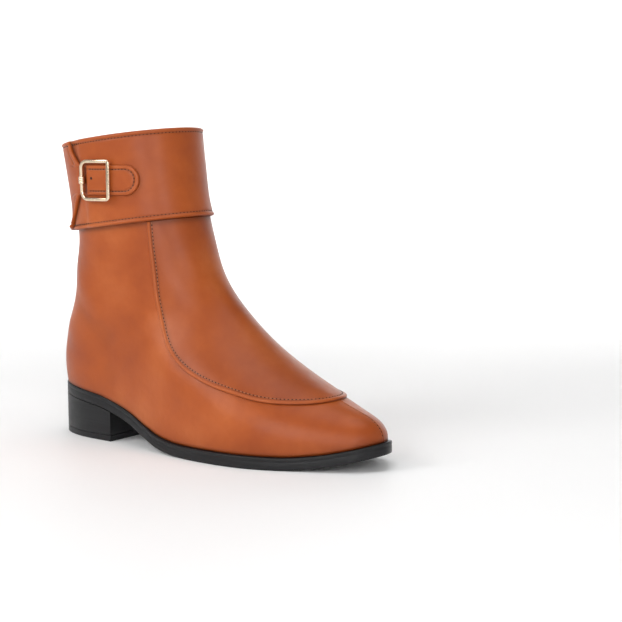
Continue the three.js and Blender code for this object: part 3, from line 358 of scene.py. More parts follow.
def folds(points):
    """How far the soft folds move the leather out, for points of the last."""
    x, z = points[..., 0] / SOLE_LENGTH, points[..., 2] / COLLAR_HEIGHT
    out = np.zeros(x.shape)
    for k in range(len(FOLDS["side"])):
        side, x0, z0, x1, z1, depth, width = (FOLDS[name][k] for name in FOLDS)
        run = np.array([(x1 - x0) * SOLE_LENGTH, (z1 - z0) * COLLAR_HEIGHT])
        length = np.hypot(*run)
        dx, dz = (x - x0) * SOLE_LENGTH, (z - z0) * COLLAR_HEIGHT
        s = (dx * run[0] + dz * run[1]) / length
        across = (dx * run[1] - dz * run[0]) / length
        ends = smooth_step((s + width) / (2 * width)) * smooth_step((length + width - s) / (2 * width))
        near = 1 if side == 0 else smooth_step(0.5 + side * points[..., 1] / BALL_WIDTH * 2)
        out -= depth * hump(across, width) * ends * near
    return out


# Places on the cuff

AROUND_SHARES = np.linspace(-1.05, 1.85, 581)
DROP_SHARES = np.linspace(0.5, 1.1, 61)
column_points = last(AROUND_SHARES[:, None], DROP_SHARES[None, :])
column_tops = last(AROUND_SHARES, 1.0)
column_drops = (np.linalg.norm(column_points - column_tops[:, None, :], axis=-1)
                * np.sign(1 - DROP_SHARES))
DROPS = np.linspace(-3, CUFF_HEIGHT + 6, 140)
up_at_drop = np.array([np.interp(DROPS, row[::-1], DROP_SHARES[::-1]) for row in column_drops])


def up_below_collar(around, drop):
    """Where the column at a place around is a given length below the collar."""
    i = np.interp(around, AROUND_SHARES, np.arange(len(AROUND_SHARES)))
    j = np.interp(drop, DROPS, np.arange(len(DROPS)))
    i0 = np.clip(i.astype(int), 0, len(AROUND_SHARES) - 2)
    j0 = np.clip(j.astype(int), 0, len(DROPS) - 2)
    a, b = i - i0, j - j0
    low = lerp(up_at_drop[i0, j0], up_at_drop[i0 + 1, j0], a)
    high = lerp(up_at_drop[i0, j0 + 1], up_at_drop[i0 + 1, j0 + 1], a)
    return lerp(low, high, b)


def cuff_skin(around, height, out):
    around, height, out = np.broadcast_arrays(around, height, out)
    return skin(around, up_below_collar(around, CUFF_HEIGHT - height), out)


zip_around = natural_cubic(ZIP_LINE["up"], ZIP_LINE["around"])
ZIP_LOW = ZIP_LINE["up"][0]


def zip_pace(up):
    """Millimetres to a half turn across the zip."""
    step = 0.004
    middle = zip_around(up)
    return np.linalg.norm(last(middle + step, up) - last(middle - step, up), axis=-1) / (2 * step)


def zip_skin(up, across, out):
    """Points by the zip: across it in millimetres towards the toe, and out."""
    up, across, out = np.broadcast_arrays(np.asarray(up, float), across, out)
    return skin(zip_around(up) - across / zip_pace(up), up, out)


def zip_on_cuff(height):
    """Place around of the zip at heights of the cuff, and the pace there."""
    top = np.full(np.shape(height), zip_around(1.0))
    middle = zip_around(up_below_collar(top, CUFF_HEIGHT - height))
    return middle, zip_pace(up_below_collar(middle, CUFF_HEIGHT - height))


def flap_around(height):
    """Place around of the flap's free edge at each height of the cuff."""
    behind = monotone_cubic(FLAP_EDGE["up"], FLAP_EDGE["behind"])(height / CUFF_HEIGHT)
    x = BUCKLE_FORWARD - behind * BUCKLE_WIDTH
    around = np.linspace(1.05, 1.7, 131)
    spots = last(around[None, :], up_below_collar(around[None, :], CUFF_HEIGHT - height[:, None]))
    return np.array([np.interp(x[k], spots[k, :, 0], around) for k in range(len(height))])


# Places beside the apron seam

seam_knots = np.linspace(0, 1, len(APRON_SEAM["up"]))
seam_around = natural_cubic(seam_knots, APRON_SEAM["around"])
seam_up = natural_cubic(seam_knots, APRON_SEAM["up"])


def seam_place(along):
    s = 1 - np.abs(along)
    return np.sign(along) * np.maximum(seam_around(s), 0), seam_up(s)


def beside_seam(along, inward):
    """Places a given width inside the seam, towards the apron; along runs from -1 outside to 1."""
    along, inward = np.broadcast_arrays(np.asarray(along, float), np.asarray(inward, float))
    around, up = seam_place(along)
    step, reach = 0.004, 0.01
    ring = (last(around + step, up) - last(around - step, up)) / (2 * step)
    rise = (last(around, up + step) - last(around, up - step)) / (2 * step)
    run = last(*seam_place(np.minimum(along + reach, 1))) - last(*seam_place(np.maximum(along - reach, -1)))
    towards = unit(np.cross(unit(np.cross(ring, rise)), run)) * inward[..., None]
    a, b, c = (ring * ring).sum(-1), (ring * rise).sum(-1), (rise * rise).sum(-1)
    p, q = (towards * ring).sum(-1), (towards * rise).sum(-1)
    det = a * c - b * b
    return around + (p * c - q * b) / det, up + (q * a - p * b) / det


# Meshes


def place_object(name, data):
    """An object of the scene that holds a mesh, lamp or camera."""
    made = bpy.data.objects.new(name, data)
    bpy.context.scene.collection.objects.link(made)
    return made


def smooth_into(work, mesh):
    for face in work.faces:
        face.smooth = True
    work.to_mesh(mesh)
    work.free()


def mesh_piece(name, points, faces, look, tone=None):
    """An object from points in millimetres, with a number per point for painted shading: painted shade under
    0, painted highlight over 0.
    """
    points = np.asarray(points, float).reshape(-1, 3)
    points = (points - [HEEL_LENGTH / 2, 0, 0]) * MM
    mesh = bpy.data.meshes.new(name)
    mesh.from_pydata(points.tolist(), [], faces)
    layer = mesh.attributes.new("tone", "FLOAT", "POINT")
    values = np.zeros(len(points)) if tone is None else np.asarray(tone, float).ravel()
    layer.data.foreach_set("value", values.astype(np.float32))
    work = bmesh.new()
    work.from_mesh(mesh)
    bmesh.ops.remove_doubles(work, verts=work.verts, dist=2e-6)
    bmesh.ops.dissolve_degenerate(work, edges=work.edges, dist=1e-7)
    bmesh.ops.recalc_face_normals(work, faces=work.faces)
    smooth_into(work, mesh)
    mesh.materials.append(look)
    return place_object(name, mesh)


def tube_faces(rows, cols, closed=False):
    """Faces of rings of points joined one after another, and the last to the first if closed."""
    return [(i * cols + j, i * cols + (j + 1) % cols, (i + 1) % rows * cols + (j + 1) % cols,
             (i + 1) % rows * cols + j) for i in range(rows if closed else rows - 1) for j in range(cols)]


def shell_faces(rows, cols, ring=False, keep=None):
    """Faces of the solid between two grids, with walls round every edge that keep leaves open."""
    spans = cols if ring else cols - 1
    keep = np.ones((rows - 1, spans), bool) if keep is None else keep
    size = rows * cols
    faces = []

    def at(i, j):
        return i * cols + j % cols

    def open_at(i, j):
        if i < 0 or i >= rows - 1:
            return True
        if j < 0 or j >= spans:
            if not ring:
                return True
            j %= spans
        return not keep[i, j]
    for i, j in zip(*np.nonzero(keep)):
        i, j = int(i), int(j)
        a, b, c, d = at(i, j), at(i, j + 1), at(i + 1, j + 1), at(i + 1, j)
        faces.append((a, b, c, d))
        faces.append((size + d, size + c, size + b, size + a))
        for blocked, p, q in ((open_at(i - 1, j), a, b), (open_at(i, j + 1), b, c),
                              (open_at(i + 1, j), c, d), (open_at(i, j - 1), d, a)):
            if blocked:
                faces.append((q, p, size + p, size + q))
    return faces


def shell(name, outer, inner, look, tone=None, ring=False, keep=None):
    """A solid sheet between an outer and an inner grid."""
    rows, cols = outer.shape[:2]
    faces = shell_faces(rows, cols, ring, keep)
    both = None if tone is None else np.concatenate([tone.ravel(), tone.ravel()])
    return mesh_piece(name, np.concatenate([outer.reshape(-1, 3), inner.reshape(-1, 3)]), faces, look, both)


def sweep(name, sections, look, tone=None, closed=False):
    """Sections joined one after another, into a ring or with flat ends."""
    rows, cols = sections.shape[:2]
    faces = tube_faces(rows, cols, closed)
    if not closed:
        faces += [tuple(range(cols))[::-1], tuple((rows - 1) * cols + j for j in range(cols))]
    return mesh_piece(name, sections, faces, look, tone)


def refined(node, name, look, bevel):
    """A copy of a CAD node with its hard edges rounded."""
    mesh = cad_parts[node].data.copy()
    mesh.name = name
    work = bmesh.new()
    work.from_mesh(mesh)
    bmesh.ops.remove_doubles(work, verts=work.verts, dist=1e-6)
    bmesh.ops.dissolve_limit(work, angle_limit=math.radians(2), verts=work.verts, edges=work.edges)
    sharp = [edge for edge in work.edges if edge.is_manifold and edge.calc_face_angle() > math.radians(35)]
    bmesh.ops.bevel(work, geom=sharp, offset=bevel * MM, segments=3, profile=0.6, affect="EDGES",
                    clamp_overlap=True)
    bmesh.ops.triangulate(work, faces=[face for face in work.faces if len(face.verts) > 4])
    smooth_into(work, mesh)
    mesh.materials.clear()
    mesh.materials.append(look)
    mesh.attributes.new("tone", "FLOAT", "POINT")
    return place_object(name, mesh)


def scatter(name, path, above, pitch, size, look, phase=0.0):
    """Small ellipsoids along a path; above is the same path moved out, size is (long, wide, high)."""
    run = np.r_[0, np.cumsum(np.linalg.norm(np.diff(path, axis=0), axis=1))]
    stops = np.linspace(0, run[-1], max(int(run[-1] / pitch), 2) + 1)
    stops = stops[:-1] + phase * (stops[1] - stops[0])
    pick = [np.stack([np.interp(q, run, line[:, k]) for k in range(3)], -1)
            for q, line in ((stops, path), (stops + 0.05, path), (stops, above))]
    centre, ahead, out = pick[0], unit(pick[1] - pick[0]), unit(pick[2] - pick[0])
    side = unit(np.cross(out, ahead))
    turns, rings = 8, 5
    template = [(0, 0, 1)]
    for i in range(1, rings):
        for j in range(turns):
            a, b = math.pi * i / rings, 2 * math.pi * j / turns
            template.append((math.sin(a) * math.cos(b), math.sin(a) * math.sin(b), math.cos(a)))
    template.append((0, 0, -1))
    template = np.array(template) * np.array(size) / 2
    faces = []
    for j in range(turns):
        k = (j + 1) % turns
        faces.append((0, 1 + j, 1 + k))
        for i in range(rings - 2):
            a = 1 + i * turns
            faces.append((a + j, a + turns + j, a + turns + k, a + k))
        end = 1 + (rings - 2) * turns
        faces.append((end + j, len(template) - 1, end + k))
    points = (centre[:, None, :] + template[None, :, 0:1] * ahead[:, None, :]
              + template[None, :, 1:2] * side[:, None, :] + template[None, :, 2:3] * out[:, None, :])
    every = [tuple(k * len(template) + v for v in face) for k in range(len(centre)) for face in faces]
    return mesh_piece(name, points, every, look)


def stitch_row(name, place, look, pitch=2.5, hole=(1.15, 0.80, 0.60)):
    """A row of thread, with near-black ellipsoids of painted shade between its stitches where it goes into
    its holes; place(out) gives its path, moved out by out.
    """
    path = place(0.0)
    above = place(1.0)
    rows = [scatter(name, path, above, pitch, (pitch * 0.72, 0.55, 0.42), look),
            scatter(name + "_holes", path, above, pitch, hole, hole_shade, phase=0.5)]
    wear(rows, "boot", "leather_tan")


def wear(piece, body, slot, *nodes):
    """Fastens a piece, or a list of pieces, to a body and hides the CAD nodes that it stands for; slot is
    not used.
    """
    for one in piece if isinstance(piece, list) else [piece]:
        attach(one, body)
        if nodes:
            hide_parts(*nodes)


# Materials


class Nodes:
    """A short way to write a material's nodes."""

    def __init__(self, name, rough, metal=0.0, specular=0.5):
        self.material = bpy.data.materials.new(name)
        self.material.use_nodes = True
        self.tree = self.material.node_tree
        self.shader = self.tree.nodes["Principled BSDF"]
        self.shader.inputs["Roughness"].default_value = rough
        self.shader.inputs["Metallic"].default_value = metal
        self.shader.inputs["Specular IOR Level"].default_value = specular
        self.place = self.add("ShaderNodeTexCoord").outputs["Object"]

    def add(self, kind, **values):
        node = self.tree.nodes.new(kind)
        for key, value in values.items():
            setattr(node, key, value)
        return node

    def link(self, a, b):
        self.tree.links.new(a, b)

    def noise(self, scale, detail=3.0, roughness=0.55, stretch=(1, 1, 1)):
        node = self.add("ShaderNodeTexNoise")
        node.inputs["Scale"].default_value = scale
        node.inputs["Detail"].default_value = detail
        node.inputs["Roughness"].default_value = roughness
        mapping = self.add("ShaderNodeMapping")
        mapping.inputs["Scale"].default_value = stretch
        self.link(self.place, mapping.inputs["Vector"])
        self.link(mapping.outputs["Vector"], node.inputs["Vector"])
        return node.outputs["Fac"]

    def cells(self, scale):
        node = self.add("ShaderNodeTexVoronoi")
        node.inputs["Scale"].default_value = scale
        self.link(self.place, node.inputs["Vector"])
        return node.outputs["Distance"]

    def ramp(self, value, stops):
        node = self.add("ShaderNodeValToRGB")
        elements = node.color_ramp.elements
        while len(elements) < len(stops):
            elements.new(0.5)
        for element, (at, color) in zip(elements, stops):
            element.position = at
            element.color = (*color, 1)
        self.link(value, node.inputs["Fac"])
        return node.outputs["Color"]

    def range(self, value, low, high, to_low, to_high):
        node = self.add("ShaderNodeMapRange")
        for name, number in (("From Min", low), ("From Max", high), ("To Min", to_low), ("To Max", to_high)):
            node.inputs[name].default_value = number
        self.link(value, node.inputs["Value"])
        return node.outputs["Result"]

    def mix(self, share, a, b):
        """Colour a towards colour b; either may be a fixed colour."""
        node = self.add("ShaderNodeMix", data_type="RGBA")
        self.link(share, node.inputs["Factor"])
        colors = [socket for socket in node.inputs if socket.type == "RGBA"]
        for socket, value in zip(colors, (a, b)):
            if isinstance(value, tuple):
                socket.default_value = (*value, 1)
            else:
                self.link(value, socket)
        return [socket for socket in node.outputs if socket.type == "RGBA"][0]

    # The per-point painted shading: painted shade under 0, painted highlight over 0.
    def tone(self):
        return self.add("ShaderNodeAttribute", attribute_name="tone").outputs["Fac"]

    def bump(self, *layers):
        """Bumps one on another, each a (height, strength, distance in millimetres)."""
        normal = None
        for height, strength, distance in layers:
            node = self.add("ShaderNodeBump")
            node.inputs["Strength"].default_value = strength
            node.inputs["Distance"].default_value = distance * MM
            self.link(height, node.inputs["Height"])
            if normal is not None:
                self.link(normal, node.inputs["Normal"])
            normal = node.outputs["Normal"]
        self.link(normal, self.shader.inputs["Normal"])

    def color(self, value):
        self.link(value, self.shader.inputs["Base Color"])

    def roughness(self, value):
        self.link(value, self.shader.inputs["Roughness"])


def smooth_leather(name, color, dark, light, rough, grain=1.0, coat=0.05):
    """Smooth dyed leather: cloudy colour, painted shade where the per-point shading is under 0 and painted
    highlight where it is over 0, a fine grain and a soft gloss.
    """
    make = Nodes(name, rough, specular=0.26)
    cloud = make.noise(22, 4)
    patch = make.noise(90, 3)
    base = make.ramp(cloud, [(0.30, dark), (0.52, color), (0.72, light)])
    base = make.mix(make.range(patch, 0.35, 0.7, 0.0, 0.22), base, dark)
    # Painted shade towards a near-black brown below 0, painted highlight towards the light tan above 0.
    low = make.range(make.tone(), -1, 0, 0.86, 0.0)
    high = make.range(make.tone(), 0, 1, 0.0, 0.6)
    shadow = tuple(c * 0.18 for c in dark)
    base = make.mix(low, base, shadow)
    base = make.mix(high, base, light)
    make.color(base)
    make.roughness(make.range(patch, 0.3, 0.75, rough - 0.04, rough + 0.07))
    make.shader.inputs["Coat Weight"].default_value = coat
    make.shader.inputs["Coat Roughness"].default_value = 0.3
    make.bump((make.cells(1100), 0.34 * grain, 0.08), (make.noise(2600, 2), 0.22 * grain, 0.05),
              (make.noise(120, 4), 0.30, 0.35))
    return make.material


TAN = (0.355, 0.073, 0.011)
TAN_DARK = (0.265, 0.047, 0.007)
TAN_LIGHT = (0.44, 0.110, 0.025)
leather = smooth_leather("tan_leather", TAN, TAN_DARK, TAN_LIGHT, 0.40)
lining_leather = smooth_leather("lining_leather", (0.52, 0.36, 0.22), (0.44, 0.29, 0.17), (0.60, 0.43, 0.28),
                                0.62, grain=0.7, coat=0.0)


def plain_thread(name, color, rough=0.6):
    make = Nodes(name, rough)
    strands = make.noise(1800, 2, stretch=(1, 1, 0.3))
    dark = tuple(c * 0.6 for c in color)
    make.color(make.ramp(strands, [(0.3, dark), (0.7, color)]))
    make.bump((strands, 0.4, 0.1))
    return make.material


thread = plain_thread("brown_thread", (0.24, 0.075, 0.024))
tan_thread = plain_thread("tan_thread", (0.40, 0.145, 0.060))
zip_thread = plain_thread("zip_thread", (0.58, 0.27, 0.14))
# Near-black painted shade for the insides of stitch holes and of the pin hole.
hole_shade = plain_thread("stitch_holes", (0.022, 0.008, 0.005), 0.9)


def black_sole(name, rough, lines, stretch):
    """Black sole compound with faint lines along the edge and light scuffs."""
    make = Nodes(name, rough, specular=0.28)
    streak = make.noise(lines, 3, stretch=stretch)
    scuff = make.noise(70, 5, 0.7)
    base = make.ramp(streak, [(0.35, (0.006, 0.006, 0.007)), (0.65, (0.011, 0.011, 0.012))])
    base = make.mix(make.range(scuff, 0.62, 0.8, 0.0, 0.5), base, (0.045, 0.043, 0.042))
    make.color(base)
    make.roughness(make.range(scuff, 0.3, 0.75, rough - 0.05, rough + 0.12))
    make.bump((streak, 0.25, 0.12), (make.noise(900, 3), 0.12, 0.05))
    return make.material


sole_edge = black_sole("sole_edge", 0.42, 260, (0.12, 0.12, 3.0))
heel_stack = black_sole("heel_stack", 0.40, 330, (0.08, 0.08, 3.0))


def pale_gold():
    make = Nodes("pale_gold", 0.14, metal=1.0)
    rub = make.noise(500, 3, stretch=(1, 1, 0.2))
    make.color(make.ramp(rub, [(0.3, (0.70, 0.54, 0.37)), (0.7, (0.84, 0.70, 0.52))]))
    make.roughness(make.range(rub, 0.3, 0.7, 0.09, 0.20))
    make.bump((make.noise(1200, 2), 0.04, 0.03))
    return make.material


def enamel():
    make = Nodes("tan_enamel", 0.38, metal=0.15)
    chips = make.noise(420, 4, 0.65)
    worn, plain, dark = (0.55, 0.33, 0.19), (0.42, 0.20, 0.095), (0.33, 0.14, 0.060)
    make.color(make.ramp(chips, [(0.3, dark), (0.62, plain), (0.9, worn)]))
    make.roughness(make.range(chips, 0.3, 0.75, 0.30, 0.48))
    make.bump((chips, 0.10, 0.06))
    return make.material


def woven(name, color, pitch):
    """Tape woven across the zip."""
    make = Nodes(name, 0.85)
    weave = make.noise(pitch, 1, 0.4, stretch=(0.4, 0.4, 2.2))
    dark = tuple(c * 0.45 for c in color)
    make.color(make.ramp(weave, [(0.35, dark), (0.6, color)]))
    make.shader.inputs["Sheen Weight"].default_value = 0.2
    make.bump((weave, 0.6, 0.25))
    return make.material


def moulded(name, color):
    make = Nodes(name, 0.42)
    flow = make.noise(700, 2)
    make.color(make.ramp(flow, [(0.3, tuple(c * 0.75 for c in color)), (0.7, color)]))
    make.bump((flow, 0.15, 0.05))
    return make.material


gold = pale_gold()
tab_enamel = enamel()
tape_cloth = woven("zip_cloth", (0.075, 0.027, 0.013), 1400)
coil_plastic = moulded("coil_plastic", (0.36, 0.150, 0.070))


# Upper


def upper_columns(up):
    """Places around for each row, from the zip's rear edge round the back and the toe to its front edge."""
    near = np.array([0.0, 0.12, 0.35, 0.8, 1.6, 3.0]) + ZIP_SLOT / 2
    pace = zip_pace(up)[:, None]
    middle = zip_around(up)[:, None]
    seam = 0.016
    rear = middle + near[None, :] / pace
    front = middle - near[None, ::-1] / pace
    back = np.linspace(0, 1, 292)[None, 1:] * (2 - seam - rear[:, -1:]) + rear[:, -1:]
    toe = np.broadcast_to(np.linspace(2 - seam, 2 + seam, 21)[1:], (len(up), 20))
    inner = np.linspace(0, 1, 92)[None, 1:-1] * (front[:, :1] - seam) + seam + 2
    return np.concatenate([rear, back, toe, inner, front + 2], 1)


def upper_relief(around, up, points):
    """Out from the last: soft folds, the toe's centre seam and the turned edges by the zip."""
    out = folds(points)
    below_apron = smooth_step((APRON_SEAM["up"][-1] + 0.01 - up) / 0.02)
    offset = np.abs(points[..., 1])
    near_toe = (np.cos(around * np.pi) > 0.5) * below_apron
    out += near_toe * (0.10 * hump(offset - 1.0, 0.7) - 0.42 * hump(offset, 0.36))
    turn = 0.9
    edge = np.abs(((around - zip_around(up)) + 1) % 2 - 1) * zip_pace(up) - ZIP_SLOT / 2
    beside = smooth_step((up - ZIP_LOW + 0.01) / 0.02)
    out -= beside * turn * rolled(edge, turn)
    out += beside * 0.12 * hump(edge - 2.4, 1.2)
    return out


def upper_painted_shade(around, up, points, relief):
    """Painted shade: darker where the leather meets the sole, in the folds and other hollows, and under the
    cuff's lower rim.
    """
    rise = points[..., 2] - feather(points[..., 0])
    tone = -0.62 * hump(rise, 1.6) - 0.16 * hump(rise, 8)
    tone -= 0.35 * np.clip(-relief - 0.12, 0, 0.35)
    cuff = up - up_below_collar((around + 1) % 2 - 1, CUFF_HEIGHT)
    tone -= 0.5 * hump(cuff * COLLAR_HEIGHT, 2.5)
    return np.clip(tone, -1, 1)


def make_upper():
    leather_depth, lining_face, lining_depth = 1.3, 1.4, 2.0
    slot_row = 26
    up = np.concatenate([np.linspace(0, ZIP_LOW, slot_row + 1), np.linspace(ZIP_LOW, 1, 142)[1:]])
    around = upper_columns(up)
    grid_up = np.broadcast_to(up[:, None], around.shape)
    base = last(around, grid_up)
    relief = upper_relief(around, grid_up, base)
    tone = upper_painted_shade(around, grid_up, base, relief)
    outer = skin(around, grid_up, relief)
    inner = skin(around, grid_up, np.full(around.shape, -leather_depth))

    def slotted(name, outer, inner, look, tone=None):
        keep = np.ones((len(up) - 1, outer.shape[1]), bool)
        keep[slot_row:, -1] = False
        return shell(name, outer, inner, look, tone, ring=True, keep=keep)
    wear(slotted("upper_leather", outer, inner, leather, tone), "boot", "leather_tan", "upper")
    thin = slice(None, None, 3)
    around, grid_up = around[:, thin], grid_up[:, thin]
    face = skin(around, grid_up, np.full(around.shape, -lining_face))
    inside = skin(around, grid_up, np.full(around.shape, -lining_depth))
    wear(slotted("upper_lining", inside, face, lining_leather), "boot", "lining", "upper")


make_upper()


def cuff_limit(side):
    """How far along the seam the cuff's lower rim crosses it."""
    along = side * np.linspace(0.75, 1, 251)
    around, up = seam_place(along)
    rim = up_below_collar(around, CUFF_HEIGHT) - GAP / COLLAR_HEIGHT
    return side * np.interp(0, up - rim, np.abs(along))


SEAM_FROM, SEAM_TO = cuff_limit(-1), cuff_limit(1)


def make_plug():
    """The apron: rows from its tip to the cuff, columns from side to side."""
    reach = min(-SEAM_FROM, SEAM_TO)
    rows = reach * np.linspace(0, 1, 190)
    columns = np.linspace(-1, 1, 121)
    edge_around, edge_up = beside_seam(rows, BEAD_WIDTH * 0.5)
    around = edge_around[:, None] * columns[None, :]
    up = np.repeat(edge_up[:, None], len(columns), 1)
    rim = up_below_collar(around, CUFF_HEIGHT) - GAP / COLLAR_HEIGHT
    share = (rows / reach)[:, None]
    last_rows = smooth_step((share - 0.72) / 0.28)
    up = up + last_rows * (rim - rim[:, :1] + (rim[:, :1] - up[:, :1]) * share ** 30)
    base = last(around, up)
    relief = folds(base)
    from_edge = np.abs(np.abs(columns) - 1)[None, :] * np.abs(edge_around)[:, None] * APRON_PACE
    # The whole apron a little darker; painted shade just inside the bead, in the folds and under the cuff's
    # rim.
    tone = -0.12 - 0.30 * hump(from_edge - 1.4, 1.0) - 0.35 * np.clip(-relief - 0.12, 0, 0.35)
    tone = tone - 0.5 * hump((rim - up) * COLLAR_HEIGHT, 2.5)
    outer = skin(around, up, PLUG_FACE + relief)
    inner = skin(around, up, np.full(around.shape, GAP))
    piece = shell("apron_leather", outer, inner, leather, np.clip(tone, -1, 1))
    wear(piece, "boot", "leather_tan", "vamp_plug")


def make_bead():
    """The rolled seam round the apron."""
    along = np.linspace(SEAM_FROM, SEAM_TO, 460)
    turns = np.linspace(0, 2 * math.pi, 17)[:-1]
    across = BEAD_WIDTH / 2 * (1 - np.cos(turns))
    out = np.maximum(0.55 + (BEAD_TOP - 0.55) * np.sin(turns), 0.08)
    around, up = beside_seam(along[:, None], across[None, :])
    base = last(around, up)
    points = skin(around, up, np.broadcast_to(out, around.shape) + folds(base))
    # Painted highlight along the bead's top and painted shade along its outer side and underside.
    shade = 0.45 * np.sin(turns) - 0.35 * (1 + np.cos(turns)) * (np.sin(turns) < 0.6)
    tone = np.broadcast_to(shade, around.shape)
    wear(sweep("apron_bead_leather", points, leather, tone), "boot", "leather_tan", "apron_bead")


make_plug()
make_bead()


# Cuff


def rim_relief(distance):
    """Out from the cuff's face near a rolled rim: the bead, and the stitched groove inside it."""
    bead = RIM_WIDTH / 2
    raised = 0.5 * hump(distance - bead, bead * 0.8) - 0.5 * hump(distance - RIM_GROOVE, 0.5)
    return raised - 1.25 * rolled(distance, bead)


# Painted highlight on a rim's rolled bead and painted shade in the stitched groove inside it.
def rim_painted_shading(distance):
    return 0.35 * (hump(distance - RIM_WIDTH / 2, 0.9) - hump(distance - RIM_GROOVE, 0.55))


def near_both(count, width):
    """Places from 0 to width, closer together near both ends."""
    reach = 5.5
    ramp = np.linspace(0, 1, 14) ** 2.2 * reach
    return np.concatenate([ramp, np.linspace(reach, width - reach, count)[1:-1], width - ramp[::-1]])


def near_end(count, width):
    """Places from 0 to width, closer together near the end."""
    reach = 5
    ramp = np.linspace(0, 1, 12) ** 2 * reach
    return np.concatenate([np.linspace(0, width - reach, count)[:-1], width - ramp[::-1]])


BAND_THIN_FROM, BAND_THIN_TO, BAND_END = -0.575, -0.63, -0.735
LAP_FROM, LAP_TO = 1.16, 1.262


def flare(around, height):
    """How far the cuff stands off towards its lower rim, most at the back."""
    depth = (1 - np.cos(around * math.pi)) / 2
    return lerp(FLARE_FRONT, FLARE_BACK, depth * depth) * np.maximum(1 - height / FLARE_HEIGHT, 0) ** 2


def cuff_sheet(name, node, around, height, face, edge_distance, shade, lift=0):
    """A band of the cuff with rolled rims, their painted highlight and painted shade, and the painted light
    and shade given as shade; edge_distance is how far each point is from its free edges.
    """
    low, high = height, CUFF_HEIGHT - height
    relief = rim_relief(low) + rim_relief(high) - 0.9 * rolled(edge_distance, 1.1)
    tone = rim_painted_shading(low) + rim_painted_shading(high) + shade
    base = cuff_skin(around, height, np.zeros(height.shape))
    wave = np.sin(base[..., 0] / 9 + base[..., 2] / 21)
    soft = 0.25 * wave * np.sin(math.pi * height / CUFF_HEIGHT) ** 2
    stand = flare(around, height)
    outer = cuff_skin(around, height + lift, face + relief + soft + stand)
    inner = cuff_skin(around, height + lift, GAP + stand)
    piece = shell(name, outer, inner, leather, np.clip(tone, -1, 1))
    wear(piece, "boot", "leather_tan", node)


def make_cuff_front():
    heights = near_both(40, CUFF_HEIGHT)
    shares = near_end(190, 240.0) / 240.0
    middle, pace = zip_on_cuff(heights)
    zip_front = middle - ZIP_SLOT / 2 / pace
    around = lerp(BAND_END, zip_front[:, None], shares[None, :])
    height = np.broadcast_to(heights[:, None], around.shape)
    thin = smooth_step((BAND_THIN_FROM - around) / (BAND_THIN_FROM - BAND_THIN_TO))
    face = lerp(CUFF_FACE, GAP + CUFF_LEATHER, thin)
    edge = (zip_front[:, None] - around) * CUFF_PACE
    # Painted shadow of the flap's edge on the front band, just beyond it.
    past_flap = (around - flap_around(heights)[:, None] + 2) * CUFF_PACE
    shade = -1.0 * hump(past_flap - 0.4, 1.5)
    cuff_sheet("cuff_front_band", "cuff_front", around, height, face, edge, shade)


def back_face(around):
    """The back band's face over the last, higher where it laps over the front band."""
    return lerp(CUFF_FACE, LAP_FACE, smooth_step((around - LAP_FROM) / (LAP_TO - LAP_FROM)))


def make_cuff_back():
    heights = near_both(70, CUFF_HEIGHT)
    shares = near_both(120, 200.0) / 200.0
    middle, pace = zip_on_cuff(heights)
    zip_back = middle + ZIP_SLOT / 2 / pace
    flap = flap_around(heights)
    around = lerp(zip_back[:, None], flap[:, None], shares[None, :])
    height = np.broadcast_to(heights[:, None], around.shape)
    path = last(flap, up_below_collar(flap, CUFF_HEIGHT - heights))
    spots = last(around, up_below_collar(around, CUFF_HEIGHT - height))
    to_flap = np.array([np.linalg.norm(spots[k] - path[k], axis=-1) for k in range(len(heights))])
    lean = np.abs(np.gradient(path[:, 0], heights))[:, None]
    to_flap = to_flap / np.sqrt(1 + lean ** 2)
    edge = np.minimum(to_flap, (around - zip_back[:, None]) * CUFF_PACE)
    lift = FLAP_LIFT * np.maximum(1 - to_flap / 9, 0) ** 2 * np.maximum(1 - height / FLAP_LIFT_HEIGHT, 0)
    groove = hump(to_flap - 3.1, 0.5)
    face = back_face(around) + 0.5 * hump(to_flap - 1.3, 1.1) - 0.4 * groove
    # Painted highlight on the flap's rolled edge and painted shade in its stitched groove.
    shade = 0.4 * hump(to_flap - 1.4, 1.0) - 0.6 * groove
    cuff_sheet("cuff_back_band", "cuff_back", around, height, face, edge, shade, lift)


make_cuff_front()
make_cuff_back()


# Strap and buckle

BUCKLE_UP = COLLAR_HEIGHT - COLLAR_DROP / 2 - CUFF_HEIGHT + BUCKLE_ABOVE
STRAP_UNDER = CUFF_FACE + GAP
STRAP_BACK = GAP - FLAP_EDGE["behind"].min() * BUCKLE_WIDTH


def buckle_skin(forward, above, out):
    return side_skin(BUCKLE_FORWARD + forward, BUCKLE_UP + above, -1, out)


def strap_half(forward):
    s = np.clip((forward - STRAP_REACH + STRAP_TIP) / STRAP_TIP, 0, 1)
    return STRAP_WIDTH / 2 * np.sqrt(np.maximum(1 - s * s, 0.0))


def strap_top(forward, across):
    """Height of the strap's face over its back, from its distance to the nearest edge."""
    tip = STRAP_REACH - STRAP_TIP
    to_side = (1 - np.abs(across)) * strap_half(forward)
    ahead = np.clip(forward - tip, 0, None)
    radius = np.hypot(ahead / STRAP_TIP, np.abs(across) * strap_half(forward) / (STRAP_WIDTH / 2))
    to_tip = (1 - radius) * STRAP_TIP
    edge = np.where(forward > tip, np.minimum(to_tip, to_side + 4), to_side)
    top = STRAP_THICKNESS - 0.85 * rolled(edge, 1.0)
    return top - 0.32 * hump(edge - STRAP_GROOVE, 0.6) + 0.06 * hump(edge - 1.4, 0.8), edge


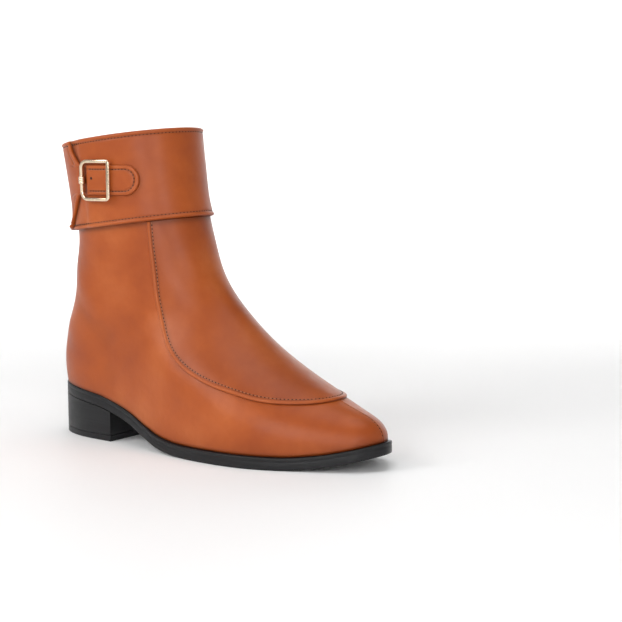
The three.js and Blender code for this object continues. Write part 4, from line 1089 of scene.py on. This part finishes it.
def make_strap():
    flat = STRAP_REACH - STRAP_TIP
    tip = flat + STRAP_TIP * np.sin(np.linspace(0, math.pi / 2, 36))[1:]
    forward = np.concatenate([np.linspace(STRAP_BACK, flat, 90), tip])[:, None]
    ease = np.linspace(-1, 1, 81)
    across = (np.sin(ease * math.pi / 2) * 0.55 + ease * 0.45)[None, :]
    forward, across = np.broadcast_arrays(forward, across)
    top, edge = strap_top(forward, across)
    dive = smooth_step((forward - STRAP_BACK) / 5)
    rise = lerp(LAP_FACE - STRAP_UNDER, top, dive)
    above = across * strap_half(forward)
    outer = buckle_skin(forward, above, STRAP_UNDER + rise)
    inner = buckle_skin(forward, above, np.full(above.shape, STRAP_UNDER + 0.05))
    # Painted shade in the stitched groove and where the strap's back end dips under the buckle's bar,
    # painted highlight on its rolled edge.
    tone = -0.25 * hump(edge - STRAP_GROOVE, 0.6) + 0.35 * hump(edge - 0.9, 0.8) - 0.6 * (1 - dive)
    piece = shell("strap_leather", outer, inner, leather, np.clip(tone, -1, 1))
    wear(piece, "boot", "leather_tan", "strap_tab")


def strap_stitches():
    half = STRAP_WIDTH / 2 - STRAP_GROOVE
    tip = STRAP_REACH - STRAP_TIP
    turn = np.linspace(math.pi / 2, -math.pi / 2, 60)
    run = np.linspace(STRAP_BACK + 5.5, tip, 40)
    forward = np.concatenate([run, tip + (STRAP_TIP - STRAP_GROOVE) * np.cos(turn), run[::-1]])
    above = np.concatenate([np.full(40, half), half * np.sin(turn), np.full(40, -half)])
    level = STRAP_UNDER + STRAP_THICKNESS - 0.2
    stitch_row("strap_stitches", lambda out: buckle_skin(forward, above, level + out), thread, 2.3)


# The pin hole as a thin near-black disc of painted shade on the strap's face.
def make_pin_hole():
    forward, above = -3.6, 1.2
    turns = np.linspace(0, 2 * math.pi, 25)[:-1]
    rings = []
    for radius, out in ((0.95, -0.1), (0.9, 0.05), (0.6, 0.07), (0.05, 0.07)):
        rings.append(buckle_skin(forward + radius * np.cos(turns), above + radius * np.sin(turns),
                                 np.full(24, STRAP_UNDER + STRAP_THICKNESS + out)))
    wear(sweep("pin_hole_shade", np.array(rings), hole_shade), "boot", "leather_tan")


BAR_OVER_FLAP = LAP_FACE + SLEEVE_WALL + 2 * GAP + BUCKLE_BAR / 2
BAR_OVER_STRAP = STRAP_UNDER + STRAP_THICKNESS + GAP + BUCKLE_BAR / 2


def corner(start, knee, end, count):
    s = np.linspace(0, 1, count)[:, None]
    start, knee, end = (np.array(p, float) for p in (start, knee, end))
    return (1 - s) ** 2 * start + 2 * s * (1 - s) * knee + s * s * end


def make_buckle():
    w, h = (BUCKLE_WIDTH - BUCKLE_BAR) / 2, (BUCKLE_HEIGHT - BUCKLE_BAR) / 2
    soft, square = 6, 1.8
    bar = np.linspace(0, 1, 14)[1:-1, None]
    parts = [corner((-w, h - soft), (-w, h), (soft - w, h), 16),
             corner((w - square, h), (w, h), (w, h - square), 10),
             corner((w, square - h), (w, -h), (w - square, -h), 10),
             corner((soft - w, -h), (-w, -h), (-w, soft - h), 16)]
    outline = []
    for k, part in enumerate(parts):
        after = parts[(k + 1) % len(parts)]
        outline += [part, lerp(part[-1:], after[:1], bar)]
    outline = np.concatenate(outline)
    forward, above = outline[:, 0], outline[:, 1]
    level = lerp(BAR_OVER_FLAP, BAR_OVER_STRAP, forward / (2 * w) + 0.5)
    spot, over = buckle_skin(forward, above, level), buckle_skin(forward, above, level + 1)
    run = unit(np.roll(spot, -1, 0) - np.roll(spot, 1, 0))
    out = unit(over - spot)
    across = unit(np.cross(out, run))
    turns = np.linspace(0, 2 * math.pi, 21)[:-1]
    squared = 0.72
    wide, high = (np.sign(wave) * np.abs(wave) ** squared * BUCKLE_BAR / 2
                  for wave in (np.cos(turns), np.sin(turns)))
    sections = spot[:, None] + across[:, None] * wide[None, :, None] + out[:, None] * high[None, :, None]
    wear(sweep("buckle_bars", sections, gold, closed=True), "boot", "buckle_gold", "buckle_frame")
    wear(refined("buckle_sleeve", "buckle_ribs", gold, 0.08), "boot", "buckle_gold", "buckle_sleeve")


make_strap()
strap_stitches()
make_pin_hole()
make_buckle()


# Stitching


def seam_stitches():
    along = np.linspace(SEAM_FROM * 0.995, SEAM_TO * 0.995, 700)
    around, up = beside_seam(along, np.full(along.shape, BEAD_WIDTH + 0.75))
    level = PLUG_FACE + folds(last(around, up))
    stitch_row("apron_stitches", lambda out: skin(around, up, level + out), tan_thread)


def toe_stitches():
    up = np.linspace(0.012, APRON_SEAM["up"][-1] - 0.012, 80)
    around = np.full(80, 1e-4)
    stitch_row("toe_seam_stitches", lambda out: skin(around, up, -0.3 + out), thread, 2.4)


def cuff_stitches(name, start, end, face, height):
    around = np.linspace(start, end, 420)
    level = face(around) - 0.42 + flare(around, height)
    stitch_row(name, lambda out: cuff_skin(around, np.full(420, height), level + out), thread)


def make_cuff_stitches():
    for name, height in (("low", RIM_GROOVE), ("top", CUFF_HEIGHT - RIM_GROOVE)):
        here = np.array([height])
        middle, pace = (value[0] for value in zip_on_cuff(here))
        margin = (ZIP_SLOT / 2 + 1.5) / pace
        flap = flap_around(here)[0]
        cuff_stitches("cuff_front_stitches_" + name, flap - 2 + 0.012, middle - margin,
                      lambda around: np.full(around.shape, CUFF_FACE), height)
        cuff_stitches("cuff_back_stitches_" + name, middle + margin, flap - 0.02, back_face, height)


ZIP_HOLE = (0.75, 0.50, 0.40)


def zip_stitches():
    up = np.linspace(ZIP_LOW + 0.005, 1, 260)
    at_zip = zip_around(up)
    shaft = up[up < up_below_collar(at_zip, CUFF_HEIGHT + 1.5)]
    cuff = up[(up > up_below_collar(at_zip, CUFF_HEIGHT - 4)) & (up < up_below_collar(at_zip, 4))]
    for side, word in ((-1, "rear"), (1, "front")):
        for name, run, inset, level in ((f"zip_stitches_{word}_1", shaft, 1.3, 0.06),
                                        (f"zip_stitches_{word}_3", shaft, 3.2, 0.06),
                                        (f"cuff_zip_stitches_{word}", cuff, 1.9, CUFF_FACE)):
            across = side * (ZIP_SLOT / 2 + inset)
            stitch_row(name, lambda out: zip_skin(run, across, level + out), zip_thread, 2.2, ZIP_HOLE)


seam_stitches()
toe_stitches()
make_cuff_stitches()
zip_stitches()


# Zip


def make_zip():
    half = ZIP_SLOT / 2 - 0.1
    top = -ZIP_DEPTH
    section = [(-half, top - TAPE_THICKNESS), (half, top - TAPE_THICKNESS), (half, top), (0.5, top + 0.1),
               (-0.5, top + 0.1), (-half, top)]
    up = np.linspace(ZIP_LOW + 0.003, 0.995, 160)
    tape = np.stack([zip_skin(up, across, out) for across, out in section], 1)
    wear(sweep("zip_cloth_strip", tape, tape_cloth), "boot", "zip_tape", "zip_tape")
    slider_low = 14.6
    up_top = up_below_collar(np.array([zip_around(1.0)]), slider_low)[0]
    up = np.linspace(ZIP_LOW + 0.02, up_top, 400)
    rows = []
    for side, word in ((-1, "rear"), (1, "front")):
        path, above = (zip_skin(up, side * ZIP_TEETH_ACROSS, out) for out in (0.22, 1.22))
        rows.append(scatter("zip_teeth_" + word, path, above, 1.7, (1.05, 2.45, 1.7), coil_plastic,
                            phase=0.0 if side < 0 else 0.5))
    wear(rows, "boot", "zip_coil", "zip_coil")
    wear(refined("zip_slider", "zip_slider_body", tab_enamel, 0.35), "boot", "zip_metal", "zip_slider")
    wear(refined("pull_tab", "pull_tab_plate", tab_enamel, 0.18), "pull_tab", "zip_metal", "pull_tab")


make_zip()


# Sole, heel and insole


def edge_points(around, out):
    step = 0.004
    ahead = last(around + step, 0.0) - last(around - step, 0.0)
    outward = unit(np.stack([ahead[..., 1], -ahead[..., 0]], -1))
    points = last(around, 0.0).copy()
    points[..., :2] += outward * np.asarray(out)[..., None]
    return points


def sole_rings(name, around, levels, look):
    """Rings round the foot, each (out, height over the underside), closed across above and below."""
    rings = []
    for out, height in levels:
        points = edge_points(around, out)
        points[..., 2] = underside(points[..., 0]) + height
        rings.append(points)
    cols, rows = len(around), len(rings)
    faces = tube_faces(rows, cols)
    for first in (0, (rows - 1) * cols):
        faces += [(first + j, first + j + 1, first + (cols - j - 1) % cols, first + (cols - j) % cols)
                  for j in range(cols // 2)]
    return mesh_piece(name, np.array(rings), faces, look)


def make_sole():
    around = np.linspace(0, 2, 401)[:-1]
    x = last(around, 0.0)[:, 0] / SOLE_LENGTH
    welt = lerp(WELT_HEEL, WELT_FOREFOOT, smooth_step((x - 0.2) / 0.3))
    side = [(0.9, 0.0), (0.35, 0.15), (0.08, 0.55), (0.0, 1.1), (0.0, 2.2), (0.0, 5.0), (0.10, 5.25),
            (0.10, 5.45), (0.0, 5.7), (0.0, 7.1), (0.06, 7.5), (0.22, 7.85), (0.5, SOLE_THICKNESS)]
    levels = [(welt - inset, height) for inset, height in side]
    piece = sole_rings("sole_edge_ring", around, levels, sole_edge)
    wear(piece, "boot", "sole_black", "outsole")
    heel = refined("heel_block", "heel_block_stack", heel_stack, 0.12)
    near_sole, closer = 0.6, 0.25
    for vertex in heel.data.vertices:
        below = float(underside(vertex.co.x / MM + HEEL_LENGTH / 2)) - vertex.co.z / MM
        vertex.co.z += closer * MM * (below < near_sole)
    wear(heel, "boot", "sole_black", "heel_block")
    wear(refined("top_lift", "top_lift_plate", heel_stack, 0.12), "boot", "sole_black", "top_lift")
    inset = -UPPER_WALL - 0.9
    floor = SOLE_THICKNESS + GAP
    levels = [(inset, floor), (inset, floor + 1.6), (inset - 0.4, floor + 2.0)]
    board = sole_rings("insole_sock", around, levels, lining_leather)
    wear(board, "boot", "lining", "insole")


make_sole()


# Stage, lights and camera


def make_stage():
    """A pale floor that curves up into a bowl all round, so that no horizon shows."""
    radius, bend, height = 2.6, 1.0, 1.6
    profile = [(0.001, 0.0), (radius * 0.5, 0.0), (radius, 0.0)]
    for k in range(1, 13):
        turn = k / 12 * math.pi / 2
        profile.append((radius + bend * math.sin(turn), bend * (1 - math.cos(turn))))
    profile.append((radius + bend, bend + height))
    turns = 96
    points = [(r * math.cos(2 * math.pi * k / turns), r * math.sin(2 * math.pi * k / turns), z)
              for r, z in profile for k in range(turns)]
    faces = tube_faces(len(profile), turns) + [tuple(range(turns))]
    mesh = bpy.data.meshes.new("floor")
    mesh.from_pydata(points, [], faces)
    for polygon in mesh.polygons:
        polygon.use_smooth = True
    make = Nodes("pale_floor", 0.6)
    make.color(make.ramp(make.noise(3, 2), [(0.3, (0.93, 0.93, 0.93)), (0.7, (0.94, 0.94, 0.94))]))
    mesh.materials.append(make.material)
    place_object("floor", mesh)


def area_light(name, place, aim, size, power):
    data = bpy.data.lights.new(name, "AREA")
    data.shape = "RECTANGLE"
    data.size, data.size_y = size
    data.energy = power
    lamp = place_object(name, data)
    lamp.location = place
    lamp.rotation_euler = (Vector(aim) - Vector(place)).to_track_quat("-Z", "Y").to_euler()


def make_camera():
    """The photograph's view: a place of the boot that shows at a known pixel, from a known distance."""
    azimuth, pitch = math.radians(34.43), math.radians(6.54)
    focal, distance = 1500.0, 1.0184
    seen, pixel = Vector((0.0885, 0, 0.100)), (204.0, 299.4)
    right = Vector((math.cos(azimuth), math.sin(azimuth), 0))
    level = Vector((-math.sin(azimuth), math.cos(azimuth), 0))
    forward = level * math.cos(pitch) - Vector((0, 0, math.sin(pitch)))
    upward = right.cross(forward)
    middle = PHOTO / 2
    ray = forward + right * (pixel[0] - middle) / focal - upward * (pixel[1] - middle) / focal
    data = bpy.data.cameras.new("camera")
    data.sensor_width = 36.0
    data.lens = focal / PHOTO * data.sensor_width
    camera = place_object("camera", data)
    camera.location = seen - ray * distance
    camera.rotation_euler = (math.pi / 2 - pitch, 0, azimuth)
    bpy.context.scene.camera = camera


make_stage()
world = bpy.data.worlds.new("studio")
world.use_nodes = True
background = world.node_tree.nodes["Background"]
background.inputs["Color"].default_value = (1.0, 0.99, 0.98, 1)
background.inputs["Strength"].default_value = 0.18
bpy.context.scene.world = world
bpy.context.scene.view_settings.view_transform = "Standard"
boot_middle = (0.08, 0, 0.10)
area_light("key", (-0.9, -1.7, 1.3), boot_middle, (1.2, 1.2), 23)
area_light("strip", (1.30, -1.15, 0.50), boot_middle, (0.30, 0.9), 6)
area_light("front", (0.50, -1.36, 0.56), boot_middle, (0.28, 0.9), 6)
area_light("top", (0.2, -0.1, 1.9), boot_middle, (1.4, 1.4), 13)
area_light("backdrop", (-0.3, 1.3, 2.0), (-1.9, 3.4, 0.7), (1.6, 0.8), 80)
make_camera()
